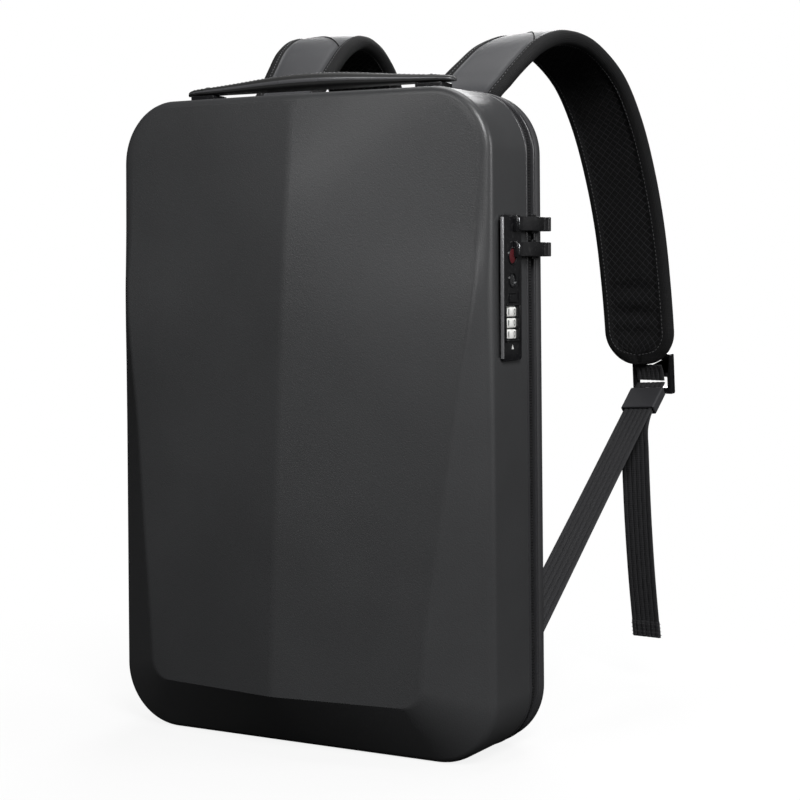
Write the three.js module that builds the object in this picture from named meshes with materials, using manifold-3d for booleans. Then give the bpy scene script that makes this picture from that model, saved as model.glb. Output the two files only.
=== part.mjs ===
// Hard shell backpack, in millimetres, +Z up.
// The origin is the middle of the case's bottom. The front faces -Y, the straps +Y, the lock +X.
import * as THREE from 'three';
import { mergeVertices } from 'three/addons/utils/BufferGeometryUtils.js';
import Module from 'manifold-3d';

const wasm = await Module();
wasm.setup();

// Case
const CASE_HEIGHT = 450;
const CASE_WIDTH = 299;
const CASE_FLARE = 0.02;
const RIM_Y = -38.5;
const BACK_Y = 38.5;
const CORNER_RADIUS = 43.6;
const SHELL_WALL = 2.8;
const FRONT_EDGE_FILLET = 5;
const CLEARANCE = 0.3;

// Relief of the front: a panel of two planes that meet in a ridge, with facets round it
const RIDGE_RISE = 38.6;
const PANEL_EDGE_RISE = 25.8;
const PANEL_INSET = 42.4;
const PANEL_BOTTOM = 41;
const PANEL_CORNER_RADIUS = 14;
const PANEL_TOP_MARGIN = 8;
const RELIEF_ROWS = [
  { up: 0.00, ridge: 1.000, edge: 1.000, inset: 1.000 },
  { up: 0.09, ridge: 1.000, edge: 1.000, inset: 1.000 },
  { up: 0.22, ridge: 0.915, edge: 0.953, inset: 0.892 },
  { up: 0.31, ridge: 0.855, edge: 0.841, inset: 0.769 },
  { up: 0.40, ridge: 0.769, edge: 0.717, inset: 0.646 },
  { up: 0.49, ridge: 0.690, edge: 0.609, inset: 0.531 },
  { up: 0.58, ridge: 0.620, edge: 0.523, inset: 0.384 },
  { up: 0.67, ridge: 0.550, edge: 0.400, inset: 0.240 },
  { up: 0.80, ridge: 0.420, edge: 0.140, inset: 0.110 },
  { up: 1.00, ridge: 0.155, edge: 0.000, inset: 0.000 },
];

// Closed zip round the side wall, between two beads
const LIP_THICKNESS = 3;
const FRONT_LIP_WIDTH = 3.6;
const ZIP_WIDTH = 7.4;
const ZIP_THICKNESS = 1.2;
const ZIP_RECESS = 1.4;
const BACK_LIP_WIDTH = 3.4;

// Back frame, a shallow tray, with two plain pads
const FRAME_DEPTH = 9.5;
const FRAME_WALL = 2.6;
const FRAME_EDGE = 2.5;
const FRAME_INSET = 0.6;
const PAD_THICKNESS = 9;
const PAD_WIDTH = 86;
const PAD_HEIGHT = 350;
const PAD_BOTTOM = 42;
const PAD_GAP = 28;
const PAD_CORNER_RADIUS = 24;
const PAD_EDGE = 4;

// Lock on the +X wall
const LOCK_HEIGHT = 96;
const LOCK_WIDTH = 28;
const LOCK_CENTRE_Y = -13;
const LOCK_CENTRE_Z = 317;
const LOCK_PLATE_THICKNESS = 2;
const LOCK_BODY_INSET = 3;
const LOCK_BODY_DEPTH = 19;
const LOCK_CORNER_RADIUS = 2.5;
const DIAL_RADIUS = 9;
const DIAL_HEIGHT = 6.4;
const DIAL_PITCH = 7.4;
const DIAL_COUNT = 3;
const DIAL_STAND = 1.5;
const DIAL_EDGE = 0.5;
const DIAL_MIDDLE_Z = 293.8;
const DIAL_PIN_RADIUS = 2;
const KEY_RADIUS = 4;
const KEY_DEPTH = 9;
const KEY_Z = 322;
const KEYWAY_WIDTH = 1.2;
const KEYWAY_LENGTH = 5;
const KEYWAY_DEPTH = 5;
const BUTTON_WIDTH = 10;
const BUTTON_HEIGHT = 5.4;
const BUTTON_DEPTH = 5;
const BUTTON_STAND = 0.8;
const BUTTON_TRAVEL = 1.2;
const BUTTON_Z = 310;
const INLAY_RADIUS = 5;
const INLAY_DEPTH = 1;
const INLAY_Z = 338;

// Zip sliders and the flat pullers that the lock holds
const PULLER_HEIGHT = 9.6;
const PULLER_THICKNESS = 2.2;
const PULLER_STAND = 2.4;
const PULLER_TIP_OVERLAP = 8;
const PULLER_LOOP_RADIUS = 4.2;
const PULLER_LOOP_HOLE = 1.8;
const PULLER_LOOP_PAST_ZIP = 10;
const PULLER_LOOP_STAND = 1;
const UPPER_PULLER_Z = 359.5;
const LOWER_PULLER_Z = 342.5;
const SLIDER_LENGTH = 13;
const SLIDER_WIDTH = 6.6;
const SLIDER_HEIGHT = 3.6;

// Top handle
const HANDLE_LENGTH = 218;
const HANDLE_WIDTH = 28;
const HANDLE_THICKNESS = 11;
const HANDLE_END_THICKNESS = 5;
const HANDLE_END_WIDTH = 15;
const HANDLE_GAP = 5;
const HANDLE_Y = -11;
const HANDLE_FOOT_SPACING = 184;
const HANDLE_FOOT_LENGTH = 20;
const HANDLE_FOOT_WIDTH = 17;

// Padded shoulder straps. Each leans towards +X above its root and then runs back in an upright plane.
// The splay is that plane's angle in degrees, from straight back towards +X.
const STRAPS = [
  { name: 'right', side: 1, splay: 10, rise: 46, lean: 13 },
  { name: 'left', side: -1, splay: -9, rise: 54, lean: 16 },
];
const STRAP_WIDTH = 62;
const STRAP_THICKNESS = 10.5;
const STRAP_ROOT_X = 75;
const STRAP_ROOT_DROP = 46;
const STRAP_REACH = 231;
const STRAP_END_THINNING = 0.3;
const STRAP_DROP = 243;
const STRAP_END_RADIUS = 26;
const STRAP_SAMPLES = 22;
const STRAP_END_SAMPLES = 4;
const STRAP_TURN_START = 0.1;
const STRAP_TURN_END = 0.3;
const STRAP_ASCENT = [
  { out: 0.017, up: -0.98, lean: 0 },
  { out: 0.018, up: -0.53, lean: 0.2 },
  { out: 0.030, up: -0.04, lean: 0.6 },
  { out: 0.087, up: 0.28, lean: 0.9 },
  { out: 0.156, up: 0.55, lean: 1 },
  { out: 0.242, up: 0.81, lean: 1 },
  { out: 0.368, up: 1.00, lean: 1 },
];
const STRAP_DESCENT = [
  { out: 0.494, down: 0.008 },
  { out: 0.593, down: 0.045 },
  { out: 0.693, down: 0.111 },
  { out: 0.792, down: 0.235 },
  { out: 0.874, down: 0.399 },
  { out: 0.931, down: 0.564 },
  { out: 0.967, down: 0.728 },
  { out: 0.992, down: 0.893 },
  { out: 1.000, down: 1.000 },
];
const STRAP_SECTIONS = [
  { along: 0.00, width: 0.88, thick: 0.56 },
  { along: 0.10, width: 0.92, thick: 0.66 },
  { along: 0.28, width: 1.00, thick: 1.00 },
  { along: 1.00, width: 1.00, thick: 1.00 },
];

// Webbing, ladder lock and keeper below each strap
const WEB_WIDTH = 25;
const WEB_THICKNESS = 1.8;
const WEB_TURN_START = 0.3;
const WEB_TURN_END = 0.92;
const STUB_LENGTH = 13;
const LADDER_WIDTH = 36;
const LADDER_HEIGHT = 32;
const LADDER_THICKNESS = 6;
const LADDER_BAR = 5;
const LADDER_SIDE = 4;
const LADDER_DROP = 8;
const LADDER_ACROSS = 7;
const KEEPER_LENGTH = 23;
const KEEPER_WALL = 1.6;
const KEEPER_START = 8;
const ANCHOR_X = 122;
const ANCHOR_Z = 44;
const ANCHOR_WIDTH = 30;
const ANCHOR_HEIGHT = 26;
const ANCHOR_THICKNESS = 3;
const TAIL_RUN_OUT = 3;
const TAIL_HANG = 166;
const TAIL_DRIFT_OUT = 12;
const TAIL_DRIFT_ACROSS = 4;

const group = new THREE.Group();

const CHARCOAL_PLASTIC = { color: 0x3c3d40, roughness: 0.55, metalness: 0 };
const GLOSS_PLASTIC = { color: 0x17171a, roughness: 0.25, metalness: 0 };
const DARK_FABRIC = { color: 0x1c1c1f, roughness: 0.9, metalness: 0 };
const FRAME_FINISH = { color: 0x2a2a2d, roughness: 0.75, metalness: 0 };
const LEATHER = { color: 0x2f2f33, roughness: 0.6, metalness: 0 };
const STRAP_LEATHER = { color: 0x4a4b4f, roughness: 0.7, metalness: 0 };
const ZIP_METAL = { color: 0x1b1b1d, roughness: 0.3, metalness: 0.8 };
const KEY_METAL = { color: 0x8c8f94, roughness: 0.3, metalness: 1 };
const DIAL_WHITE = { color: 0xe9e9e6, roughness: 0.4, metalness: 0 };
const INLAY_RED = { color: 0x5a1a20, roughness: 0.35, metalness: 0 };

/** Adds one named mesh to the group. */
function addPiece(name, geometry, finish) {
  const mesh = new THREE.Mesh(geometry, new THREE.MeshStandardMaterial(finish));
  mesh.name = name;
  group.add(mesh);
  return mesh;
}

/** Leaves only merged positions, so that the mesh is closed. */
function weld(geometry) {
  const plain = geometry.clone();
  plain.deleteAttribute('normal');
  plain.deleteAttribute('uv');
  return mergeVertices(plain, 1e-4);
}

function toManifold(geometry) {
  const merged = weld(geometry);
  const vertProperties = new Float32Array(merged.attributes.position.array);
  const triVerts = new Uint32Array(merged.index.array);
  return new wasm.Manifold(new wasm.Mesh({ numProp: 3, vertProperties, triVerts }));
}

function fromManifold(solid) {
  const { vertProperties, triVerts } = solid.getMesh();
  const geometry = new THREE.BufferGeometry();
  geometry.setAttribute('position', new THREE.BufferAttribute(new Float32Array(vertProperties), 3));
  geometry.setIndex(new THREE.BufferAttribute(new Uint32Array(triVerts), 1));
  return geometry;
}

/** Cuts every tool out of the body. */
function cut(body, ...tools) {
  let solid = toManifold(body);
  for (const tool of tools) {
    solid = solid.subtract(toManifold(tool));
  }
  return fromManifold(solid);
}

function join(...bodies) {
  let solid = toManifold(bodies[0]);
  for (const body of bodies.slice(1)) {
    solid = solid.add(toManifold(body));
  }
  return fromManifold(solid);
}

/** A closed mesh of points and faces: equal points are shared, empty faces dropped, faces turned outwards. */
function closedGeometry(points, faces) {
  const shared = new Map();
  const kept = [];
  const places = points.map((point) => {
    const key = point.map((value) => Math.round(value * 1e4)).join(',');
    if (!shared.has(key)) {
      shared.set(key, kept.length);
      kept.push(point);
    }
    return shared.get(key);
  });
  let index = faces
    .map((face) => face.map((corner) => places[corner]))
    .filter(([a, b, c]) => a !== b && b !== c && c !== a);
  const volume = index.reduce((sum, [a, b, c]) => {
    const [p, q, r] = [a, b, c].map((corner) => new THREE.Vector3(...kept[corner]));
    return sum + p.dot(q.cross(r));
  }, 0);
  if (volume < 0) {
    index = index.map(([a, b, c]) => [a, c, b]);
  }
  const geometry = new THREE.BufferGeometry();
  geometry.setAttribute('position', new THREE.Float32BufferAttribute(kept.flat(), 3));
  geometry.setIndex(index.flat());
  return geometry;
}

/** A solid through rings with equal numbers of points, closed by a fan at each end. */
function loft(rings) {
  const count = rings[0].length;
  const points = rings.flat();
  const faces = [];
  for (let row = 0; row < rings.length - 1; row += 1) {
    for (let i = 0; i < count; i += 1) {
      const next = (i + 1) % count;
      const a = row * count + i;
      const b = row * count + next;
      faces.push([a, b, b + count], [a, b + count, a + count]);
    }
  }
  const addFan = (ring, start, flip) => {
    const centre = [0, 1, 2].map((axis) => ring.reduce((sum, point) => sum + point[axis], 0) / count);
    const hub = points.push(centre) - 1;
    for (let i = 0; i < count; i += 1) {
      const next = (i + 1) % count;
      faces.push(flip ? [hub, start + next, start + i] : [hub, start + i, start + next]);
    }
  };
  addFan(rings[0], 0, true);
  addFan(rings[rings.length - 1], (rings.length - 1) * count, false);
  return closedGeometry(points, faces);
}

/** A Catmull-Rom value of one column of a table at a place given in another column. */
function tableValue(rows, key, place, column) {
  let after = rows.findIndex((row) => row[key] > place);
  if (after === -1) {
    after = rows.length - 1;
  }
  after = Math.max(after, 1);
  const at = (i) => rows[Math.min(Math.max(i, 0), rows.length - 1)];
  const [r0, r1, r2, r3] = [at(after - 2), at(after - 1), at(after), at(after + 1)];
  const span = r2[key] - r1[key];
  const t = Math.min(Math.max((place - r1[key]) / span, 0), 1);
  const slopeIn = ((r2[column] - r0[column]) / (r2[key] - r0[key])) * span;
  const slopeOut = ((r3[column] - r1[column]) / (r3[key] - r1[key])) * span;
  const rise = r2[column] - r1[column];
  return r1[column] + t * slopeIn + t * t * (3 * rise - 2 * slopeIn - slopeOut)
    + t * t * t * (slopeIn + slopeOut - 2 * rise);
}

/** How much wider the case is at a height than at its middle. */
function flare(z) {
  return 1 + CASE_FLARE * (0.5 - z / CASE_HEIGHT);
}

const EDGE_STEPS = 3;
const CORNER_STEPS = 6;
const SIDE_STEPS = 9;

/** Half an outline from the middle of its bottom to the middle of its top, then its mirror image. */
function outline({ sideAt, bottom, top, bottomRadius, topRadius }) {
  const half = [];
  const lowX = sideAt(bottom + bottomRadius) - bottomRadius;
  const highX = sideAt(top - topRadius) - topRadius;
  for (let i = 0; i < EDGE_STEPS; i += 1) {
    half.push([(lowX * i) / EDGE_STEPS, bottom]);
  }
  for (let i = 0; i < CORNER_STEPS; i += 1) {
    const angle = ((i / CORNER_STEPS) * Math.PI) / 2;
    half.push([lowX + bottomRadius * Math.sin(angle), bottom + bottomRadius * (1 - Math.cos(angle))]);
  }
  for (let i = 0; i < SIDE_STEPS; i += 1) {
    const z = bottom + bottomRadius + ((top - topRadius - bottom - bottomRadius) * i) / SIDE_STEPS;
    half.push([sideAt(z), z]);
  }
  for (let i = 0; i < CORNER_STEPS; i += 1) {
    const angle = ((i / CORNER_STEPS) * Math.PI) / 2;
    half.push([highX + topRadius * Math.cos(angle), top - topRadius * (1 - Math.sin(angle))]);
  }
  for (let i = 0; i <= EDGE_STEPS; i += 1) {
    half.push([highX * (1 - i / EDGE_STEPS), top]);
  }
  const mirrored = half.slice(1, -1).reverse().map(([x, z]) => [-x, z]);
  return [...half, ...mirrored].map(([x, z]) => [x * flare(z), z]);
}

/** The case's outline, moved inwards by an inset. */
function caseOutline(inset) {
  return outline({
    sideAt: () => CASE_WIDTH / 2 - inset,
    bottom: inset,
    top: CASE_HEIGHT - inset,
    bottomRadius: CORNER_RADIUS - inset,
    topRadius: CORNER_RADIUS - inset,
  });
}

function atDepth(ring, y) {
  return ring.map(([x, z]) => [x, y, z]);
}

function reliefValue(z, column, size) {
  return size * tableValue(RELIEF_ROWS, 'up', z / CASE_HEIGHT, column);
}

/** How far the two flat panels stand in front of the rim. */
function panelRise(x, z) {
  const ridge = reliefValue(z, 'ridge', RIDGE_RISE);
  const edge = reliefValue(z, 'edge', PANEL_EDGE_RISE);
  const reach = CASE_WIDTH / 2 - reliefValue(z, 'inset', PANEL_INSET);
  return ridge + ((edge - ridge) * Math.abs(x / flare(z))) / reach;
}

/** The ridge runs out over the rim along the top edge alone. */
function rimRise(x, z, inset) {
  const reach = (CASE_WIDTH / 2 - inset) * flare(z);
  return z > CASE_HEIGHT / 2 ? reliefValue(z, 'ridge', RIDGE_RISE) * Math.max(1 - Math.abs(x) / reach, 0) : 0;
}

/** The solid inside the front shell's outer face, or its inner face with an inset. */
function frontForm(inset, backY) {
  const rim = caseOutline(inset);
  const panel = outline({
    sideAt: (z) => CASE_WIDTH / 2 - Math.max(reliefValue(z, 'inset', PANEL_INSET), PANEL_TOP_MARGIN) - inset,
    bottom: PANEL_BOTTOM,
    top: CASE_HEIGHT - PANEL_TOP_MARGIN - inset,
    bottomRadius: PANEL_CORNER_RADIUS,
    topRadius: CORNER_RADIUS - PANEL_TOP_MARGIN - inset,
  });
  const corners = rim.map(([x, z]) => new THREE.Vector3(x, RIM_Y + inset - rimRise(x, z, inset), z));
  const panelPoints = panel.map(([x, z]) => new THREE.Vector3(x, RIM_Y + inset - panelRise(x, z), z));
  const rings = [atDepth(rim, backY)];
  for (const share of [0, 0.33, 0.67, 1]) {
    rings.push(corners.map((corner, i) => {
      const start = corner.clone().add(new THREE.Vector3(0, FRONT_EDGE_FILLET, 0));
      const way = panelPoints[i].clone().sub(corner).normalize();
      const end = corner.clone().addScaledVector(way, FRONT_EDGE_FILLET);
      return new THREE.QuadraticBezierCurve3(start, corner, end).getPoint(share).toArray();
    }));
  }
  rings.push(panelPoints.map((point) => point.toArray()));
  rings.push(panel.map(([, z]) => [0, RIM_Y + inset - panelRise(0, z), z]));
  return loft(rings);
}

/** A band round the case between two depths. */
function caseBand(startY, width, inset, thickness) {
  const outer = caseOutline(inset);
  const inner = caseOutline(inset + thickness);
  const body = loft([atDepth(outer, startY), atDepth(outer, startY + width)]);
  const bore = loft([atDepth(inner, startY - width), atDepth(inner, startY + 2 * width)]);
  return cut(body, bore);
}

function box(x, y, z, centre) {
  return new THREE.BoxGeometry(x, y, z).translate(...centre);
}

/** A slab with rounded corners in the YZ plane, from one X to another. */
function roundedPlate(width, height, radius, fromX, toX, centreY, centreZ) {
  const shape = new THREE.Shape();
  const [w, h] = [width / 2 - radius, height / 2 - radius];
  shape.absarc(w, h, radius, 0, Math.PI / 2);
  shape.absarc(-w, h, radius, Math.PI / 2, Math.PI);
  shape.absarc(-w, -h, radius, Math.PI, 1.5 * Math.PI);
  shape.absarc(w, -h, radius, 1.5 * Math.PI, 2 * Math.PI);
  const slab = new THREE.ExtrudeGeometry(shape, { depth: toX - fromX, bevelEnabled: false, curveSegments: 4 });
  return slab.rotateX(Math.PI / 2).rotateZ(Math.PI / 2).translate(fromX, centreY, centreZ);
}

/** A turned cylinder with its axis along X. */
function roundAlongX(radius, fromX, toX, centreY, centreZ) {
  const length = toX - fromX;
  const body = new THREE.CylinderGeometry(radius, radius, length, 20);
  return body.rotateZ(Math.PI / 2).translate(fromX + length / 2, centreY, centreZ);
}

// Places along the depth of the case
const BACK_LIP_END = BACK_Y - FRAME_DEPTH - CLEARANCE;
const BACK_LIP_START = BACK_LIP_END - BACK_LIP_WIDTH;
const ZIP_END = BACK_LIP_START - CLEARANCE;
const ZIP_START = ZIP_END - ZIP_WIDTH;
const FRONT_LIP_END = ZIP_START - CLEARANCE;
const FRONT_LIP_START = FRONT_LIP_END - FRONT_LIP_WIDTH;
const SHELL_BACK = FRONT_LIP_START - CLEARANCE;
const ZIP_MIDDLE = (ZIP_START + ZIP_END) / 2;

// Places of the lock
const WALL_X = (CASE_WIDTH / 2) * flare(LOCK_CENTRE_Z - LOCK_HEIGHT / 2);
const PLATE_BACK_X = WALL_X + CLEARANCE;
const PLATE_FRONT_X = PLATE_BACK_X + LOCK_PLATE_THICKNESS;
const LOCK_INNER_X = PLATE_FRONT_X - LOCK_BODY_DEPTH;
const DIAL_AXIS_X = PLATE_FRONT_X + DIAL_STAND - DIAL_RADIUS;
const DIAL_STACK = DIAL_PITCH * (DIAL_COUNT - 1) + DIAL_HEIGHT;

function buildCase() {
  const lockHole = box(
    LOCK_BODY_DEPTH * 2,
    LOCK_WIDTH - 2 * LOCK_BODY_INSET + 2 * CLEARANCE,
    LOCK_HEIGHT - 2 * LOCK_BODY_INSET + 2 * CLEARANCE,
    [PLATE_FRONT_X, LOCK_CENTRE_Y, LOCK_CENTRE_Z],
  );
  const shell = cut(frontForm(0, SHELL_BACK), frontForm(SHELL_WALL, SHELL_BACK + SHELL_WALL), lockHole);
  addPiece('front_shell', shell, CHARCOAL_PLASTIC);
  addPiece('front_lip', caseBand(FRONT_LIP_START, FRONT_LIP_WIDTH, 0, LIP_THICKNESS), GLOSS_PLASTIC);
  addPiece('zipper_strip', caseBand(ZIP_START, ZIP_WIDTH, ZIP_RECESS, ZIP_THICKNESS), DARK_FABRIC);
  addPiece('back_lip', caseBand(BACK_LIP_START, BACK_LIP_WIDTH, 0, LIP_THICKNESS), GLOSS_PLASTIC);

  const side = caseOutline(0);
  const rear = caseOutline(FRAME_INSET + FRAME_EDGE);
  const tray = loft([
    atDepth(side, BACK_Y - FRAME_DEPTH),
    atDepth(side, BACK_Y - FRAME_EDGE),
    atDepth(caseOutline(FRAME_INSET), BACK_Y - FRAME_EDGE * 0.3),
    atDepth(rear, BACK_Y),
  ]);
  const hollow = caseOutline(FRAME_WALL);
  const room = loft([
    atDepth(hollow, BACK_Y - FRAME_DEPTH - FRAME_WALL),
    atDepth(hollow, BACK_Y - FRAME_EDGE - FRAME_WALL),
    atDepth(caseOutline(FRAME_WALL + FRAME_EDGE), BACK_Y - FRAME_WALL),
  ]);
  addPiece('back_frame', cut(tray, room), FRAME_FINISH);

  for (const [name, sign] of [['left', -1], ['right', 1]]) {
    const padRing = (inset, y) => {
      const half = { w: PAD_WIDTH / 2 - inset, h: PAD_HEIGHT / 2 - inset, r: PAD_CORNER_RADIUS - inset };
      const ring = [];
      for (const [sx, sz, from] of [[1, 1, 0], [-1, 1, 1], [-1, -1, 2], [1, -1, 3]]) {
        for (let i = 0; i <= CORNER_STEPS; i += 1) {
          const angle = ((from + i / CORNER_STEPS) * Math.PI) / 2;
          ring.push([
            sign * (PAD_GAP + PAD_WIDTH) / 2 + sx * (half.w - half.r) + half.r * Math.cos(angle),
            y,
            PAD_BOTTOM + PAD_HEIGHT / 2 + sz * (half.h - half.r) + half.r * Math.sin(angle),
          ]);
        }
      }
      return ring;
    };
    const front = BACK_Y + CLEARANCE;
    const pad = loft([
      padRing(0, front),
      padRing(0, front + PAD_THICKNESS - PAD_EDGE),
      padRing(PAD_EDGE * 0.3, front + PAD_THICKNESS - PAD_EDGE * 0.3),
      padRing(PAD_EDGE, front + PAD_THICKNESS),
    ]);
    addPiece(`back_pad_${name}`, pad, DARK_FABRIC);
  }
}

function buildLock() {
  const plate = roundedPlate(
    LOCK_WIDTH, LOCK_HEIGHT, LOCK_CORNER_RADIUS, PLATE_BACK_X, PLATE_FRONT_X, LOCK_CENTRE_Y, LOCK_CENTRE_Z,
  );
  const block = box(
    LOCK_BODY_DEPTH - LOCK_PLATE_THICKNESS / 2,
    LOCK_WIDTH - 2 * LOCK_BODY_INSET,
    LOCK_HEIGHT - 2 * LOCK_BODY_INSET,
    [(LOCK_INNER_X + PLATE_FRONT_X - LOCK_PLATE_THICKNESS / 2) / 2, LOCK_CENTRE_Y, LOCK_CENTRE_Z],
  );
  const pocketX = DIAL_AXIS_X - DIAL_RADIUS - CLEARANCE;
  const dialPocket = box(
    PLATE_FRONT_X + DIAL_STAND - pocketX,
    2 * (DIAL_RADIUS + CLEARANCE),
    DIAL_STACK + 2 * CLEARANCE,
    [(PLATE_FRONT_X + DIAL_STAND + pocketX) / 2, LOCK_CENTRE_Y, DIAL_MIDDLE_Z],
  );
  const keyHole = roundAlongX(
    KEY_RADIUS + CLEARANCE, PLATE_FRONT_X - KEY_DEPTH - CLEARANCE, PLATE_FRONT_X + 1, LOCK_CENTRE_Y, KEY_Z,
  );
  const buttonHoleX = PLATE_FRONT_X + BUTTON_STAND - BUTTON_DEPTH - BUTTON_TRAVEL - CLEARANCE;
  const buttonHole = box(
    PLATE_FRONT_X + 1 - buttonHoleX,
    BUTTON_WIDTH + 2 * CLEARANCE,
    BUTTON_HEIGHT + 2 * CLEARANCE,
    [(PLATE_FRONT_X + 1 + buttonHoleX) / 2, LOCK_CENTRE_Y, BUTTON_Z],
  );
  const inlayHole = roundAlongX(
    INLAY_RADIUS + CLEARANCE, PLATE_FRONT_X - INLAY_DEPTH - CLEARANCE, PLATE_FRONT_X + 1, LOCK_CENTRE_Y, INLAY_Z,
  );
  const pin = new THREE.CylinderGeometry(DIAL_PIN_RADIUS, DIAL_PIN_RADIUS, DIAL_STACK + 4, 16);
  pin.rotateX(Math.PI / 2).translate(DIAL_AXIS_X, LOCK_CENTRE_Y, DIAL_MIDDLE_Z);
  const housing = cut(join(plate, block), dialPocket, keyHole, buttonHole, inlayHole);
  addPiece('lock_body', join(housing, pin), GLOSS_PLASTIC);

  for (let i = 0; i < DIAL_COUNT; i += 1) {
    const half = DIAL_HEIGHT / 2;
    const bore = DIAL_PIN_RADIUS + CLEARANCE;
    const profile = [
      new THREE.Vector2(bore, -half),
      new THREE.Vector2(DIAL_RADIUS - DIAL_EDGE, -half),
      new THREE.Vector2(DIAL_RADIUS, -half + DIAL_EDGE),
      new THREE.Vector2(DIAL_RADIUS, half - DIAL_EDGE),
      new THREE.Vector2(DIAL_RADIUS - DIAL_EDGE, half),
      new THREE.Vector2(bore, half),
      new THREE.Vector2(bore, -half),
    ];
    const dial = new THREE.LatheGeometry(profile, 20).rotateX(Math.PI / 2);
    const dialZ = DIAL_MIDDLE_Z + DIAL_PITCH * ((DIAL_COUNT - 1) / 2 - i);
    addPiece(`dial_${i + 1}`, weld(dial), DIAL_WHITE).position.set(DIAL_AXIS_X, LOCK_CENTRE_Y, dialZ);
  }

  const plug = roundAlongX(KEY_RADIUS, PLATE_FRONT_X - KEY_DEPTH, PLATE_FRONT_X, LOCK_CENTRE_Y, KEY_Z);
  const keyway = box(
    2 * KEYWAY_DEPTH, KEYWAY_WIDTH, KEYWAY_LENGTH, [PLATE_FRONT_X, LOCK_CENTRE_Y, KEY_Z],
  );
  addPiece('key_plug', cut(plug, keyway), KEY_METAL);
  const buttonX = PLATE_FRONT_X + BUTTON_STAND - BUTTON_DEPTH / 2;
  const button = new THREE.BoxGeometry(BUTTON_DEPTH, BUTTON_WIDTH, BUTTON_HEIGHT);
  addPiece('release_button', button, GLOSS_PLASTIC).position.set(buttonX, LOCK_CENTRE_Y, BUTTON_Z);
  const inlay = roundAlongX(INLAY_RADIUS, PLATE_FRONT_X - INLAY_DEPTH, PLATE_FRONT_X, LOCK_CENTRE_Y, INLAY_Z);
  addPiece('lock_inlay', inlay, INLAY_RED);
}

/** A slider that rides on the zip's teeth and the flat puller that reaches from it into the lock. */
function buildPuller(name, z) {
  const zipX = (CASE_WIDTH / 2 - ZIP_RECESS) * flare(z);
  const sliderBack = zipX + CLEARANCE;
  const sliderTop = PLATE_FRONT_X + PULLER_STAND - CLEARANCE;
  const stem = box(
    sliderTop - sliderBack, SLIDER_WIDTH, SLIDER_HEIGHT, [(sliderTop + sliderBack) / 2, ZIP_MIDDLE, z],
  );
  const foot = box(SLIDER_HEIGHT, SLIDER_WIDTH, SLIDER_LENGTH, [sliderBack + SLIDER_HEIGHT / 2, ZIP_MIDDLE, z]);
  addPiece(`zip_slider_${name}`, join(foot, stem), ZIP_METAL);

  const tipY = LOCK_CENTRE_Y + LOCK_WIDTH / 2 - PULLER_TIP_OVERLAP;
  const lowX = PLATE_FRONT_X + CLEARANCE;
  const highX = PLATE_FRONT_X + PULLER_STAND;
  const loopY = ZIP_MIDDLE + PULLER_LOOP_PAST_ZIP;
  const loopX = WALL_X + PULLER_LOOP_STAND + PULLER_LOOP_RADIUS;
  const shape = new THREE.Shape([
    new THREE.Vector2(lowX, tipY),
    new THREE.Vector2(lowX, tipY + PULLER_TIP_OVERLAP),
    new THREE.Vector2(highX, tipY + 1.6 * PULLER_TIP_OVERLAP),
    new THREE.Vector2(highX, loopY),
    new THREE.Vector2(highX + PULLER_THICKNESS, loopY),
    new THREE.Vector2(highX + PULLER_THICKNESS, tipY + 1.4 * PULLER_TIP_OVERLAP),
    new THREE.Vector2(lowX + PULLER_THICKNESS, tipY + 0.8 * PULLER_TIP_OVERLAP),
    new THREE.Vector2(lowX + PULLER_THICKNESS, tipY),
  ]);
  const tab = new THREE.ExtrudeGeometry(shape, { depth: PULLER_HEIGHT, bevelEnabled: false });
  const loop = new THREE.CylinderGeometry(PULLER_LOOP_RADIUS, PULLER_LOOP_RADIUS, PULLER_HEIGHT, 20);
  loop.rotateX(Math.PI / 2).translate(loopX, loopY, PULLER_HEIGHT / 2);
  const hole = new THREE.CylinderGeometry(PULLER_LOOP_HOLE, PULLER_LOOP_HOLE, PULLER_HEIGHT * 2, 12);
  hole.rotateX(Math.PI / 2).translate(loopX, loopY, PULLER_HEIGHT / 2);
  const puller = cut(join(tab, loop), hole);
  addPiece(`zip_puller_${name}`, puller, GLOSS_PLASTIC).position.set(0, 0, z - PULLER_HEIGHT / 2);
}

function buildHandle() {
  const rings = [];
  const steps = 20;
  for (let i = 0; i <= steps; i += 1) {
    const share = -Math.cos((i / steps) * Math.PI);
    const x = (share * HANDLE_LENGTH) / 2;
    const swell = (1 + Math.cos(share * Math.PI)) / 2;
    const endRound = Math.sqrt(Math.max(1 - Math.abs(share) ** 14, 0.06));
    const width = (HANDLE_END_WIDTH + (HANDLE_WIDTH - HANDLE_END_WIDTH) * swell) * endRound;
    const thick = HANDLE_END_THICKNESS + (HANDLE_THICKNESS - HANDLE_END_THICKNESS) * swell;
    const ring = [];
    for (let k = 0; k < 12; k += 1) {
      const angle = (k / 12) * 2 * Math.PI;
      const across = Math.sign(Math.cos(angle)) * Math.abs(Math.cos(angle)) ** 0.7;
      const up = Math.sign(Math.sin(angle)) * Math.abs(Math.sin(angle)) ** 0.7;
      ring.push([x, HANDLE_Y + (across * width) / 2, CASE_HEIGHT + HANDLE_GAP + (thick * (1 + up)) / 2]);
    }
    rings.push(ring);
  }
  addPiece('handle_grip', loft(rings), LEATHER);
  for (const [name, sign] of [['left', -1], ['right', 1]]) {
    const height = HANDLE_GAP - 2 * CLEARANCE;
    const foot = new THREE.BoxGeometry(HANDLE_FOOT_LENGTH, HANDLE_FOOT_WIDTH, height);
    const footZ = CASE_HEIGHT + HANDLE_GAP / 2;
    addPiece(`handle_foot_${name}`, foot, GLOSS_PLASTIC)
      .position.set((sign * HANDLE_FOOT_SPACING) / 2, HANDLE_Y, footZ);
  }
}

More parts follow.
